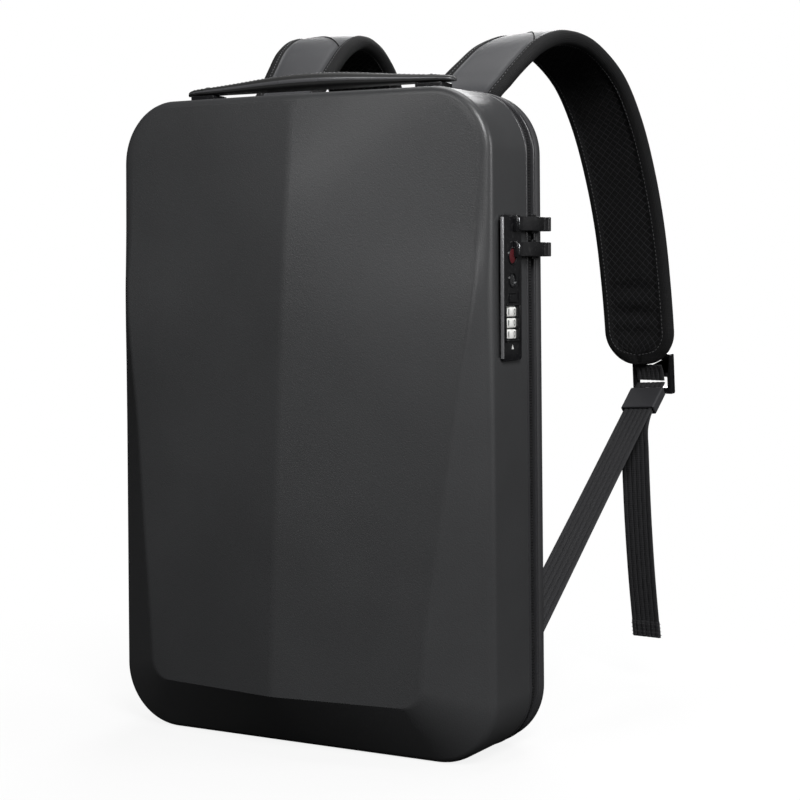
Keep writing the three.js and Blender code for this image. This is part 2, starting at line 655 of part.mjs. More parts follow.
/** The upright plane of one strap: its way outwards, its way across and a place in it. */
function strapPlane({ side, splay }) {
  const angle = THREE.MathUtils.degToRad(splay);
  const out = new THREE.Vector3(Math.sin(angle), Math.cos(angle), 0);
  const across = new THREE.Vector3(Math.cos(angle), -Math.sin(angle), 0);
  const place = (lean, reach, z) => new THREE.Vector3(side * STRAP_ROOT_X + lean, BACK_Y, z)
    .addScaledVector(out, reach);
  return { out, across, place };
}

/** The share of its thickness that a strap keeps at a share of the way through its rounded end. */
function endThickness(past) {
  return 1 - STRAP_END_THINNING * past * past;
}

/** A rounded flat section: shares of half the width and half the thickness. */
const PADDED_SECTION = [
  [1.00, 0.30], [0.93, 0.80], [0.80, 1.00], [-0.80, 1.00], [-0.93, 0.80],
  [-1.00, 0.30], [-1.00, -0.30], [-0.93, -0.80], [-0.80, -1.00], [0.80, -1.00], [0.93, -0.80], [1.00, -0.30],
];
const WEB_SECTION = [[1, 1], [-1, 1], [-1, -1], [1, -1]];

/** Rings of a section along a list of stations: a place, a direction, a way across and two halves. */
function sectionRings(stations, section) {
  return stations.map(({ place, along, across, width, thick }) => {
    const up = new THREE.Vector3().crossVectors(across, along).normalize();
    return section.map(([u, v]) => place.clone()
      .addScaledVector(across, (u * width) / 2)
      .addScaledVector(up, (v * thick) / 2)
      .toArray());
  });
}

/** Webbing of one width along smooth places, which turns from one way across to another. */
function webAlong(places, startAcross, endAcross, steps) {
  const curve = new THREE.CatmullRomCurve3(places, false, 'centripetal');
  const stations = [];
  for (let i = 0; i <= steps; i += 1) {
    const share = i / steps;
    const along = curve.getTangentAt(share);
    const across = startAcross.clone().lerp(endAcross, THREE.MathUtils.smoothstep(share, WEB_TURN_START, WEB_TURN_END));
    across.addScaledVector(along, -across.dot(along)).normalize();
    stations.push({ place: curve.getPointAt(share), along, across, width: WEB_WIDTH, thick: WEB_THICKNESS });
  }
  return loft(sectionRings(stations, WEB_SECTION));
}

/** Flat on the back at the root, the strap turns square to its own plane on the way to its crown. */
function strapAcross(share, across, along) {
  const turned = THREE.MathUtils.smoothstep(share, STRAP_TURN_START, STRAP_TURN_END);
  const way = new THREE.Vector3(1, 0, 0).lerp(across, turned);
  return way.addScaledVector(along, -way.dot(along)).normalize();
}

function buildStrap(strap) {
  const { out, across, place } = strapPlane(strap);
  const crownZ = CASE_HEIGHT + strap.rise;
  const places = [
    ...STRAP_ASCENT.map((row) => {
      const climb = row.up < 0 ? STRAP_ROOT_DROP : strap.rise;
      return place(row.lean * strap.lean, row.out * STRAP_REACH, CASE_HEIGHT + row.up * climb);
    }),
    ...STRAP_DESCENT.map((row) => place(strap.lean, row.out * STRAP_REACH, crownZ - row.down * STRAP_DROP)),
  ];
  const curve = new THREE.CatmullRomCurve3(places, false, 'centripetal');
  const length = curve.getLength();
  const shares = [];
  const bodyShare = 1 - STRAP_END_RADIUS / length;
  for (let i = 0; i <= STRAP_SAMPLES; i += 1) {
    shares.push((bodyShare * i) / STRAP_SAMPLES);
  }
  for (let i = 1; i <= STRAP_END_SAMPLES; i += 1) {
    const angle = ((i / STRAP_END_SAMPLES) * 0.95 * Math.PI) / 2;
    shares.push(bodyShare + (1 - bodyShare) * Math.sin(angle));
  }
  const stations = shares.map((share) => {
    const past = Math.max((share - bodyShare) / (1 - bodyShare), 0);
    const lost = STRAP_END_RADIUS * (1 - Math.sqrt(1 - past * past));
    return {
      place: curve.getPointAt(share),
      along: curve.getTangentAt(share),
      across: strapAcross(share, across, curve.getTangentAt(share)),
      width: STRAP_WIDTH * tableValue(STRAP_SECTIONS, 'along', share, 'width') - 2 * lost,
      thick: STRAP_THICKNESS * tableValue(STRAP_SECTIONS, 'along', share, 'thick') * endThickness(past),
    };
  });
  addPiece(`strap_${strap.name}`, loft(sectionRings(stations, PADDED_SECTION)), STRAP_LEATHER);

  return { across, out, end: curve.getPointAt(1), along: curve.getTangentAt(1) };
}

/** A frame with two windows, in the plane of across and down. */
function ladderFrame(centre, across, down) {
  const body = new THREE.BoxGeometry(LADDER_WIDTH, LADDER_THICKNESS, LADDER_HEIGHT);
  const windowHeight = (LADDER_HEIGHT - 3 * LADDER_BAR) / 2;
  const windowZ = (windowHeight + LADDER_BAR) / 2;
  const windows = [-1, 1].map((way) => box(
    LADDER_WIDTH - 2 * LADDER_SIDE, 2 * LADDER_THICKNESS, windowHeight, [0, 0, way * windowZ],
  ));
  const turned = new THREE.Matrix4().makeBasis(
    across, new THREE.Vector3().crossVectors(across, down), down.clone().negate(),
  );
  return cut(body, ...windows).applyMatrix4(turned.setPosition(centre));
}

/** A short rectangular sleeve round the two strands of webbing. */
function sleeve(centre, across, along) {
  const innerWidth = WEB_WIDTH + 2 * CLEARANCE;
  const innerHeight = 2 * WEB_THICKNESS + 4 * CLEARANCE;
  const body = new THREE.BoxGeometry(
    innerWidth + 2 * KEEPER_WALL, innerHeight + 2 * KEEPER_WALL, KEEPER_LENGTH,
  );
  const room = new THREE.BoxGeometry(innerWidth, innerHeight, 2 * KEEPER_LENGTH);
  const up = new THREE.Vector3().crossVectors(along, across).normalize();
  const turned = new THREE.Matrix4().makeBasis(across, up, along.clone());
  return cut(body, room).applyMatrix4(turned.setPosition(centre));
}

function buildWebbing({ name, side }, { across, out, end, along }) {
  const start = end.clone().addScaledVector(across, side * LADDER_ACROSS);
  const behind = new THREE.Vector3().crossVectors(across, along).normalize();
  if (behind.dot(out) < 0) {
    behind.negate();
  }
  const ladderTopPast = 1 - (LADDER_HEIGHT / 2 - LADDER_DROP) / STRAP_END_RADIUS;
  const ladderStand = (STRAP_THICKNESS * endThickness(ladderTopPast) + LADDER_THICKNESS) / 2 + CLEARANCE;
  const webStand = ladderStand - LADDER_THICKNESS / 2 - CLEARANCE - WEB_THICKNESS / 2;
  const down = (distance, stand) => start.clone().addScaledVector(along, distance).addScaledVector(behind, stand);
  const stub = webAlong(
    [down(2 * CLEARANCE, 0), down(STUB_LENGTH * 0.4, webStand * 0.6), down(STUB_LENGTH, webStand)],
    across,
    across,
    4,
  );
  addPiece(`web_stub_${name}`, stub, DARK_FABRIC);
  const ladderCentre = down(LADDER_DROP, ladderStand);
  addPiece(`ladder_lock_${name}`, ladderFrame(ladderCentre, across, along), GLOSS_PLASTIC);

  const anchor = new THREE.Vector3(side * ANCHOR_X, BACK_Y + CLEARANCE + ANCHOR_THICKNESS / 2, ANCHOR_Z);
  addPiece(`web_anchor_${name}`, box(ANCHOR_WIDTH, ANCHOR_THICKNESS, ANCHOR_HEIGHT, anchor.toArray()), LEATHER);

  const seatY = anchor.y + ANCHOR_THICKNESS / 2 + CLEARANCE + WEB_THICKNESS / 2;
  const top = down(STUB_LENGTH + 2 * CLEARANCE + WEB_THICKNESS, webStand);
  const seatTop = new THREE.Vector3(anchor.x, seatY + 4, anchor.z + ANCHOR_HEIGHT * 0.45);
  const way = seatTop.clone().sub(top).normalize();
  const straight = (distance) => top.clone().addScaledVector(way, distance);
  const reach = seatTop.distanceTo(top);
  const lowerWeb = webAlong([
    top,
    straight(reach * 0.3),
    straight(reach * 0.6),
    straight(reach * 0.9),
    seatTop,
    new THREE.Vector3(anchor.x, seatY, anchor.z + ANCHOR_HEIGHT * 0.1),
    new THREE.Vector3(anchor.x, seatY, anchor.z - ANCHOR_HEIGHT * 0.4),
  ], across, new THREE.Vector3(1, 0, 0), 14);
  addPiece(`lower_web_${name}`, lowerWeb, DARK_FABRIC);

  const under = new THREE.Vector3().crossVectors(across, way).normalize();
  if (under.z > 0) {
    under.negate();
  }
  const pitch = WEB_THICKNESS + 2 * CLEARANCE;
  const flatAcross = across.clone().addScaledVector(way, -across.dot(way)).normalize();
  const keeperCentre = straight(KEEPER_START + KEEPER_LENGTH / 2).addScaledVector(under, pitch / 2);
  addPiece(`strap_keeper_${name}`, sleeve(keeperCentre, flatAcross, way), LEATHER);

  const tailTop = straight(KEEPER_START * 0.5).addScaledVector(under, pitch);
  const tailExit = straight(KEEPER_START + KEEPER_LENGTH + TAIL_RUN_OUT).addScaledVector(under, pitch);
  const tailBend = tailExit.clone().addScaledVector(way, 7).add(new THREE.Vector3(0, 0, -6));
  const hang = (share) => tailBend.clone()
    .addScaledVector(out, TAIL_DRIFT_OUT * share * share)
    .addScaledVector(across, side * TAIL_DRIFT_ACROSS * share)
    .add(new THREE.Vector3(0, 0, -TAIL_HANG * share));
  const tail = webAlong(
    [
      tailTop,
      straight(KEEPER_START + KEEPER_LENGTH / 2).addScaledVector(under, pitch),
      straight(KEEPER_START + KEEPER_LENGTH - 4).addScaledVector(under, pitch),
      tailExit,
      tailBend,
      hang(0.1),
      hang(0.4),
      hang(0.7),
      hang(1),
    ],
    across,
    across,
    26,
  );
  addPiece(`web_tail_${name}`, tail, DARK_FABRIC);
}

buildCase();
buildLock();
buildPuller('upper', UPPER_PULLER_Z);
buildPuller('lower', LOWER_PULLER_Z);
buildHandle();
for (const strap of STRAPS) {
  buildWebbing(strap, buildStrap(strap));
}

export default group;
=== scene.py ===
"""Looks of a hard shell backpack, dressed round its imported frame.

Sizes are in millimetres and become metres where a mesh is made. +Z is up, the faceted front faces -Y,
the lock is on the +X wall and the shoulder straps arch back towards +Y.
"""

import logging
import math
from collections.abc import Callable, Sequence
from dataclasses import dataclass, field
from enum import Enum

import bmesh
import bpy
from mathutils import Matrix, Vector


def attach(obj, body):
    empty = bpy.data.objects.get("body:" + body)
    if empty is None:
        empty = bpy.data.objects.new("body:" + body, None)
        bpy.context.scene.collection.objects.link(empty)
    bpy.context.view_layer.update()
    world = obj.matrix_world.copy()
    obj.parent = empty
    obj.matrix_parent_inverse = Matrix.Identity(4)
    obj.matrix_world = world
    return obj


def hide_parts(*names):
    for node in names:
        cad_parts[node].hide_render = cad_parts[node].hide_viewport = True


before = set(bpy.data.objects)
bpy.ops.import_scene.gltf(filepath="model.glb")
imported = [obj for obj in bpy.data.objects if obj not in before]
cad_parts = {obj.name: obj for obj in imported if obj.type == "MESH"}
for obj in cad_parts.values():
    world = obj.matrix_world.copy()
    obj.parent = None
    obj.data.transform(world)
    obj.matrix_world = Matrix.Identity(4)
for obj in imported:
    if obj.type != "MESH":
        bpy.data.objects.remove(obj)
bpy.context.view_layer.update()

log = logging.getLogger("backpack")

MM = 0.001
# Points closer together than this, in metres, become one
MERGE = 2e-6
# Angles in degrees
NEARLY_FLAT = 1.0
ROUNDED_FROM = 35.0
WHITE = (1.0, 1.0, 1.0, 1.0)

Colour = tuple[float, float, float]
Spot = tuple[float, float, float]
Place = tuple[float, float]
Ring = list[Vector]
Lane = tuple[Sequence[Vector], Sequence[Vector]]
Node = bpy.types.Node
Socket = bpy.types.NodeSocket
Tree = bpy.types.NodeTree
Material = bpy.types.Material
Piece = bpy.types.Object


class Side(Enum):
    """The two sides of the back."""

    LEFT = -1
    RIGHT = 1

    @property
    def label(self) -> str:
        """The side's name as the frame's nodes use it."""
        return self.name.lower()


class RepeatShape(Enum):
    """The small solid that a row repeats."""

    BLOCK = "block"
    STITCH = "stitch"


# Shader helpers and the effects that several finishes share


class NodeBoard:
    """Adds nodes to one tree and joins them."""

    def __init__(self, tree: Tree) -> None:
        """Keeps the tree.

        Args:
            tree: A shader or geometry node tree.
        """
        self.tree = tree

    def add(self, kind: str, values: dict[str, object] | None = None, **settings: object) -> Node:
        """Adds a node.

        Args:
            kind: The node's type name.
            values: Input socket names and what they are set to, or the socket that feeds them.
            **settings: Properties of the node.

        Returns:
            The new node.
        """
        node = self.tree.nodes.new(kind)
        for name, value in settings.items():
            setattr(node, name, value)
        for name, value in (values or {}).items():
            self.feed(node.inputs[name], value)
        return node

    def feed(self, socket: Socket, value: object) -> None:
        """Sets an input to a value, or joins it to an output."""
        if isinstance(value, Socket):
            self.tree.links.new(value, socket)
        else:
            socket.default_value = value

    def set(self, node: Node, **values: object) -> None:
        """Feeds a node's inputs, with spaces in their names written as underscores."""
        for name, value in values.items():
            self.feed(node.inputs[name.replace("_", " ")], value)

    def noise(self, vector: Socket, scale: object, detail: float) -> Socket:
        """Noise over a vector, from 0 to 1."""
        noise = self.add("ShaderNodeTexNoise", {"Vector": vector, "Scale": scale, "Detail": detail})
        return noise.outputs["Fac"]

    def wave(self, value: Socket, turn: Socket) -> Socket:
        """The sine of a value times a turn."""
        return self.math("SINE", self.math("MULTIPLY", value, turn))

    def effect(self, name: str, **values: object) -> Node:
        """Places a shared effect.

        Args:
            name: The effect's name.
            **values: Its inputs.

        Returns:
            The group node.
        """
        node = self.add("ShaderNodeGroup", node_tree=EFFECTS[name])
        self.set(node, **values)
        return node

    def choose(self, share: object, low: Node, high: Node) -> Node:
        """Mixes two shaders.

        Args:
            share: How much of the second shows, from 0 to 1.
            low: The first shader.
            high: The second shader.

        Returns:
            The mix.
        """
        mix = self.add("ShaderNodeMixShader", {0: share})
        self.feed(mix.inputs[1], low.outputs[0])
        self.feed(mix.inputs[2], high.outputs[0])
        return mix

    def math(self, operation: str, *values: object) -> Socket:
        """One step of arithmetic.

        Args:
            operation: The Math node's operation.
            *values: Its operands, as numbers or sockets.

        Returns:
            The result's socket.
        """
        node = self.add("ShaderNodeMath", operation=operation)
        for socket, value in zip(node.inputs, values):
            self.feed(socket, value)
        return node.outputs[0]

    def span(self, value: object, low: object, high: object, start: float = 0.0, end: float = 1.0) -> Socket:
        """Maps a value from one range to another.

        Args:
            value: What is mapped.
            low: The result at the range's start.
            high: The result at the range's end.
            start: The range's start.
            end: The range's end.

        Returns:
            The mapped value's socket.
        """
        node = self.add(
            "ShaderNodeMapRange",
            {"Value": value, "From Min": start, "From Max": end, "To Min": low, "To Max": high},
        )
        return node.outputs["Result"]


def new_effect(name: str, inputs: dict[str, float], outputs: Sequence[str]) -> tuple[NodeBoard, dict, Node]:
    """Starts a shader node group with a vector and other named inputs.

    Args:
        name: The group's name.
        inputs: Names and defaults of its inputs besides the vector.
        outputs: Names of the values that the group puts out.

    Returns:
        The group's board, its input sockets by name and its output node.
    """
    tree = bpy.data.node_groups.new(name, "ShaderNodeTree")
    tree.interface.new_socket("Vector", in_out="INPUT", socket_type="NodeSocketVector")
    for label, default in inputs.items():
        socket = tree.interface.new_socket(label, in_out="INPUT", socket_type="NodeSocketFloat")
        socket.default_value = default
    for label in outputs:
        tree.interface.new_socket(label, in_out="OUTPUT", socket_type="NodeSocketFloat")
    board = NodeBoard(tree)
    start = board.add("NodeGroupInput")
    return board, {label: start.outputs[label] for label in ("Vector", *inputs)}, board.add("NodeGroupOutput")


def make_grain_effect() -> Tree:
    """Small rounded grains, as in moulded plastic and leather."""
    board, given, end = new_effect("grain_relief", {"Scale": 900.0}, ["Height", "Speck"])
    cells = board.add("ShaderNodeTexVoronoi", given, feature="SMOOTH_F1")
    board.set(cells, Smoothness=0.6)
    noise = board.noise(given["Vector"], given["Scale"], 2.0)
    height = board.math("SUBTRACT", noise, board.math("MULTIPLY", cells.outputs["Distance"], 0.7))
    board.set(end, Height=height, Speck=board.span(noise, 0.0, 1.0, 0.35, 0.65))
    return board.tree


def make_wear_effect() -> Tree:
    """Slow variation of tone over a surface, with fine dust in it."""
    inputs = {"Scale": 14.0, "Low": 0.0, "High": 1.0}
    board, given, end = new_effect("tone_variation", inputs, ["Value", "Dust"])
    slow = board.noise(given["Vector"], given["Scale"], 4.0)
    fine = board.noise(given["Vector"], 420.0, 3.0)
    value = board.span(slow, given["Low"], given["High"], 0.3, 0.7)
    board.set(end, Value=value, Dust=board.span(fine, 0.0, 1.0, 0.56, 0.74))
    return board.tree


def make_diamond_effect() -> Tree:
    """Crossed diagonal threads with soft squares between them, on a map in metres."""
    board, given, end = new_effect("diamond_threads", {"Pitch": 0.005}, ["Height", "Thread"])
    parts = board.add("ShaderNodeSeparateXYZ", {"Vector": given["Vector"]})
    across, along = parts.outputs["X"], parts.outputs["Y"]
    turn = board.math("DIVIDE", math.pi, given["Pitch"])
    rising = board.math("ABSOLUTE", board.wave(board.math("ADD", across, along), turn))
    falling = board.math("ABSOLUTE", board.wave(board.math("SUBTRACT", across, along), turn))
    pillow = board.math("MULTIPLY", rising, falling)
    thread = board.span(board.math("MINIMUM", rising, falling), 1.0, 0.0, 0.04, 0.15)
    fine = board.add("ShaderNodeTexVoronoi", {"Vector": given["Vector"], "Scale": 1500.0})
    height = board.math("ADD", board.math("MULTIPLY", thread, 0.8), board.math("MULTIPLY", pillow, 0.5))
    height = board.math("SUBTRACT", height, board.math("MULTIPLY", fine.outputs["Distance"], 0.5))
    board.set(end, Height=height, Thread=thread)
    return board.tree


def make_weave_effect() -> Tree:
    """Threads that pass over and under each other, on a map in metres."""
    board, given, end = new_effect("plain_weave", {"Pitch": 0.0011, "Stretch": 1.0}, ["Height", "Fleck"])
    parts = board.add("ShaderNodeSeparateXYZ", {"Vector": given["Vector"]})
    turn = board.math("DIVIDE", math.pi, given["Pitch"])
    across = board.wave(parts.outputs["X"], turn)
    along = board.wave(board.math("MULTIPLY", parts.outputs["Y"], given["Stretch"]), turn)
    height = board.math("ABSOLUTE", board.math("MULTIPLY", across, along))
    fleck = board.span(board.noise(given["Vector"], 2200.0, 1.0), 0.0, 1.0, 0.55, 0.75)
    board.set(end, Height=height, Fleck=fleck)
    return board.tree


EFFECTS = {
    "grain": make_grain_effect(),
    "tone": make_wear_effect(),
    "diamond": make_diamond_effect(),
    "weave": make_weave_effect(),
}


@dataclass(frozen=True)
class Finish:
    """What every finish has: a name, a slot of the record and a colour in linear light."""

    name: str
    slot: str
    colour: Colour
    roughness: float = 0.5

    def build(self) -> Material:
        """Makes the material: its fixed values, then what its kind of finish adds."""
        material = bpy.data.materials.new(self.name)
        material.use_nodes = True
        board = NodeBoard(material.node_tree)
        shader = next(node for node in material.node_tree.nodes if node.type == "BSDF_PRINCIPLED")
        board.set(shader, Base_Color=(*self.colour, 1.0), Roughness=self.roughness)
        self.dress(board, shader)
        # Where the frame already has a material of this name, that plain one is worn instead
        return bpy.data.materials[self.name]

    def dress(self, board: NodeBoard, shader: Node) -> None:
        """Adds what sets one kind of finish apart."""
        raise NotImplementedError

    def tint(self, board: NodeBoard, shader: Node, share: Socket, other: Colour) -> None:
        """Mixes another colour into the base where a share is high."""
        mix = board.add("ShaderNodeMix", data_type="RGBA")
        board.feed(mix.inputs[0], share)
        mix.inputs[6].default_value = (*self.colour, 1.0)
        mix.inputs[7].default_value = (*other, 1.0)
        board.feed(shader.inputs["Base Color"], mix.outputs[2])

    def relief(
        self, board: NodeBoard, shader: Node, height: Socket, depth: float, strength: float = 1.0
    ) -> None:
        """Gives the surface relief.

        Args:
            board: The material's board.
            shader: Its shader.
            height: What the relief follows, from 0 to 1.
            depth: How deep it is, in millimetres.
            strength: How much of it shows.
        """
        bump = board.add("ShaderNodeBump", {"Height": height, "Distance": depth * MM, "Strength": strength})
        board.feed(shader.inputs["Normal"], bump.outputs["Normal"])


@dataclass(frozen=True)
class MouldedPlastic(Finish):
    """Hard plastic with a moulded grain and a slow change of gloss."""

    grain: float = 0.7
    depth: float = 0.05
    lighter: Colour = (0.085, 0.086, 0.09)
    coat: float = 0.0

    def dress(self, board: NodeBoard, shader: Node) -> None:
        """Adds the grain, a slow change of tone and a thin coat."""
        place = board.add("ShaderNodeTexCoord").outputs["Object"]
        grain = board.effect("grain", Vector=place, Scale=1.0 / (self.grain * MM))
        tone = board.effect("tone", Vector=place, Scale=9.0, Low=0.0, High=0.5)
        share = board.math("ADD", tone.outputs["Value"], board.math("MULTIPLY", grain.outputs["Speck"], 0.35))
        self.tint(board, shader, share, self.lighter)
        rough = board.span(tone.outputs["Value"], self.roughness - 0.03, self.roughness + 0.05)
        self.relief(board, shader, grain.outputs["Height"], self.depth)
        board.set(shader, Roughness=rough, Coat_Weight=self.coat, Coat_Roughness=0.12)


@dataclass(frozen=True)
class Leather(Finish):
    """Coated leather: fine pebbles, worn a little lighter in places."""

    pebble: float = 0.9
    depth: float = 0.12
    worn: Colour = (0.06, 0.06, 0.062)
    sheen: float = 0.1

    def dress(self, board: NodeBoard, shader: Node) -> None:
        """Adds the pebbles, the wear and a faint sheen."""
        place = board.add("ShaderNodeTexCoord").outputs["Object"]
        grain = board.effect("grain", Vector=place, Scale=1.0 / (self.pebble * MM))
        tone = board.effect("tone", Vector=place, Scale=22.0, Low=0.0, High=0.7)
        share = board.math("MULTIPLY", tone.outputs["Value"], grain.outputs["Speck"])
        self.tint(board, shader, share, self.worn)
        rough = board.span(tone.outputs["Value"], self.roughness - 0.06, self.roughness + 0.08)
        self.relief(board, shader, grain.outputs["Height"], self.depth, 0.7)
        board.set(shader, Roughness=rough, Sheen_Weight=self.sheen, Sheen_Roughness=0.4)


@dataclass(frozen=True)
class SpacerMesh(Finish):
    """Open fabric with a diagonal grid of threads, mapped in metres."""

    pitch: float = 5.2
    thread: Colour = (0.05, 0.05, 0.053)
    depth: float = 0.5

    def dress(self, board: NodeBoard, shader: Node) -> None:
        """Adds the grid of threads, a little glossier than the ground between them."""
        spot = board.add("ShaderNodeUVMap", uv_map="UVMap").outputs["UV"]
        grid = board.effect("diamond", Vector=spot, Pitch=self.pitch * MM)
        self.tint(board, shader, grid.outputs["Thread"], self.thread)
        rough = board.span(grid.outputs["Thread"], self.roughness, self.roughness - 0.3)
        self.relief(board, shader, grid.outputs["Height"], self.depth)
        board.set(shader, Roughness=rough, Specular_IOR_Level=0.3)


@dataclass(frozen=True)
class Woven(Finish):
    """Woven tape, mapped in metres, with light flecks where threads catch the light."""

    pitch: float = 1.1
    stretch: float = 1.0
    fleck: Colour = (0.06, 0.06, 0.062)
    depth: float = 0.22

    def dress(self, board: NodeBoard, shader: Node) -> None:
        """Adds the weave and its flecks."""
        spot = board.add("ShaderNodeUVMap", uv_map="UVMap").outputs["UV"]
        weave = board.effect("weave", Vector=spot, Pitch=self.pitch * MM, Stretch=self.stretch)
        share = board.math("MULTIPLY", weave.outputs["Fleck"], weave.outputs["Height"])
        self.tint(board, shader, share, self.fleck)
        rough = board.span(share, self.roughness, self.roughness - 0.2)
        self.relief(board, shader, weave.outputs["Height"], self.depth)
        board.set(shader, Roughness=rough, Specular_IOR_Level=0.3)


@dataclass(frozen=True)
class Polished(Finish):
    """Smooth plastic or metal with faint handling marks."""

    metal: float = 0.0
    coat: float = 0.0
    dust: Colour = (0.08, 0.08, 0.082)

    def dress(self, board: NodeBoard, shader: Node) -> None:
        """Adds the marks, and the metal or the coat."""
        place = board.add("ShaderNodeTexCoord").outputs["Object"]
        tone = board.effect("tone", Vector=place, Scale=60.0, Low=0.0, High=1.0)
        self.tint(board, shader, board.math("MULTIPLY", tone.outputs["Dust"], 0.25), self.dust)
        rough = board.span(tone.outputs["Value"], self.roughness * 0.8, self.roughness * 1.35)
        self.relief(board, shader, tone.outputs["Value"], 0.02, 0.3)
        board.set(shader, Roughness=rough, Metallic=self.metal, Coat_Weight=self.coat, Coat_Roughness=0.06)


SHELL = MouldedPlastic(
    "charcoal_shell", "shell", (0.036, 0.0365, 0.038), 0.42,
    grain=0.85, depth=0.08, lighter=(0.052, 0.053, 0.055), coat=0.1,
)
LIP = MouldedPlastic(
    "lip_bead", "lips", (0.03, 0.03, 0.032), 0.28,
    grain=1.1, depth=0.015, lighter=(0.04, 0.04, 0.043),
)
TRAY = MouldedPlastic(
    "frame_plastic", "frame", (0.028, 0.028, 0.03), 0.55,
    grain=1.0, depth=0.09, lighter=(0.045, 0.045, 0.048),
)
ZIP_TAPE = Woven("zip_tape", "zip", (0.008, 0.008, 0.009), 0.85, pitch=0.9, fleck=(0.03, 0.03, 0.032))
ZIP_TOOTH = Polished("zip_tooth", "zip", (0.014, 0.014, 0.015), 0.4)
PAD_MESH = SpacerMesh("back_spacer_mesh", "back_mesh", (0.012, 0.012, 0.013), 0.9, pitch=4.6)
LOCK_BLACK = Polished("lock_black", "lock", (0.009, 0.009, 0.010), 0.16, coat=0.4)
DIAL_WHITE = Polished("dial_white", "dials", (0.78, 0.78, 0.76), 0.35, dust=(0.5, 0.5, 0.48))
DIGIT_INK = Polished("digit_ink", "dials", (0.02, 0.02, 0.022), 0.5)
RED_INLAY = Polished("red_inlay", "inlay", (0.1, 0.014, 0.018), 0.22, coat=0.5, dust=(0.2, 0.06, 0.06))
CHROME = Polished("bright_metal", "key_metal", (0.62, 0.63, 0.65), 0.18, metal=1.0, dust=(0.4, 0.4, 0.4))
BLACK_METAL = Polished("coated_metal", "zip_metal", (0.012, 0.012, 0.013), 0.3, metal=0.2, coat=0.2)
HANDLE_LEATHER = Leather(
    "handle_leather", "handle_leather", (0.045, 0.045, 0.048), 0.4,
    worn=(0.07, 0.07, 0.074),
)
# The handle's edge paint, lighter than its leather: partly real edge paint, partly a painted highlight along
# the grip's edge
EDGE_PAINT_AND_HIGHLIGHT = Polished("edge_paint_and_highlight", "handle_leather", (0.09, 0.09, 0.095), 0.25, coat=0.3)
# A lighter metal strip for the lock plate's front edge: a painted highlight for the light on the plate's
# chamfer
PLATE_EDGE_HIGHLIGHT = Polished("plate_edge_highlight", "lock", (0.36, 0.36, 0.37), 0.22, metal=0.6, dust=(0.3, 0.3, 0.3))
STRAP_LEATHER = Leather(
    "strap_leather", "strap_fabric", (0.045, 0.046, 0.05), 0.5,
    pebble=0.8, depth=0.07, worn=(0.07, 0.07, 0.074),
)
BINDING = Woven(
    "strap_binding", "strap_fabric", (0.007, 0.007, 0.0075), 0.85,
    pitch=1.3, fleck=(0.03, 0.03, 0.032), depth=0.3,
)
STRAP_MESH = SpacerMesh(
    "strap_spacer_mesh", "strap_fabric", (0.0045, 0.0045, 0.005), 0.85,
    pitch=6.4, thread=(0.055, 0.055, 0.06),
)
THREAD = Polished("grey_thread", "strap_fabric", (0.12, 0.12, 0.125), 0.6, dust=(0.2, 0.2, 0.2))
WEBBING = Woven(
    "ribbed_webbing", "webbing", (0.026, 0.026, 0.028), 0.8,
    pitch=1.2, stretch=0.8, fleck=(0.09, 0.09, 0.095),
)
WEB_THREAD = Polished("web_thread", "webbing", (0.06, 0.06, 0.063), 0.6)
KEEPER = Leather("keeper_leather", "keeper_leather", (0.03, 0.03, 0.034), 0.45, depth=0.05)
BUCKLE = Polished("buckle_black", "buckle", (0.009, 0.009, 0.010), 0.14, coat=0.5)

MATERIALS: dict[str, Material] = {}


def dressed(finish: Finish) -> Material:
    """The finish's material, made once."""
    if finish.name not in MATERIALS:
        MATERIALS[finish.name] = finish.build()
    return MATERIALS[finish.name]


# Mesh helpers


@dataclass
class Skin:
    """A surface through rings that have equal numbers of points, in millimetres."""

    rings: list[Ring]
    closed_along: bool = False
    capped: bool = True
    finishes: list[Finish] = field(default_factory=list)
    paint: Callable[[int, int], int] | None = None
    crease: float = 40.0

    def build(self, name: str) -> Piece:
        """Makes the surface.

        Args:
            name: The piece's name.

        Returns:
            Its object, with a map in metres: across the rings, then along them.
        """
        count = len(self.rings[0])
        made = bmesh.new()
        uv = made.loops.layers.uv.new("UVMap")
        rows = [[made.verts.new(point * MM) for point in ring] for ring in self.rings]
        across = self.lengths([self.rings[len(self.rings) // 2][i % count] for i in range(count + 1)])
        middle = [sum(ring, Vector()) / count for ring in self.rings]
        along = self.lengths(middle + middle[:1]) if self.closed_along else self.lengths(middle)

        def add_face(corners: Sequence, spots: Sequence[tuple[int, int]], row: int, i: int) -> None:
            """Adds a smooth face with its map and its finish."""
            face = made.faces.new(corners)
            face.smooth = True
            face.material_index = self.paint(row, i) if self.paint else 0
            for loop, (u, v) in zip(face.loops, spots):
                loop[uv].uv = (across[u] * MM, along[min(v, len(along) - 1)] * MM)

        for row in range(len(rows) if self.closed_along else len(rows) - 1):
            near, far = rows[row], rows[(row + 1) % len(rows)]
            for i in range(count):
                j = (i + 1) % count
                spots = ((i, row), (i + 1, row), (i + 1, row + 1), (i, row + 1))
                add_face((near[i], near[j], far[j], far[i]), spots, row, i)
        if self.capped and not self.closed_along:
            for row, painted in ((0, 0), (len(rows) - 1, len(rows) - 2)):
                hub = made.verts.new(middle[row] * MM)
                for i in range(count):
                    spots = ((i, row), (i + 1, row), (count // 4, row))
                    add_face((rows[row][i], rows[row][(i + 1) % count], hub), spots, painted, i)
        bmesh.ops.remove_doubles(made, verts=made.verts, dist=MERGE)
        bmesh.ops.recalc_face_normals(made, faces=made.faces)
        return finish_mesh(name, made, self.finishes, self.crease)

    @staticmethod
    def lengths(points: Sequence[Vector]) -> list[float]:
        """The distance along a row of points to each of them."""
        total = [0.0]
        for a, b in zip(points, points[1:]):
            total.append(total[-1] + (b - a).length)
        return total


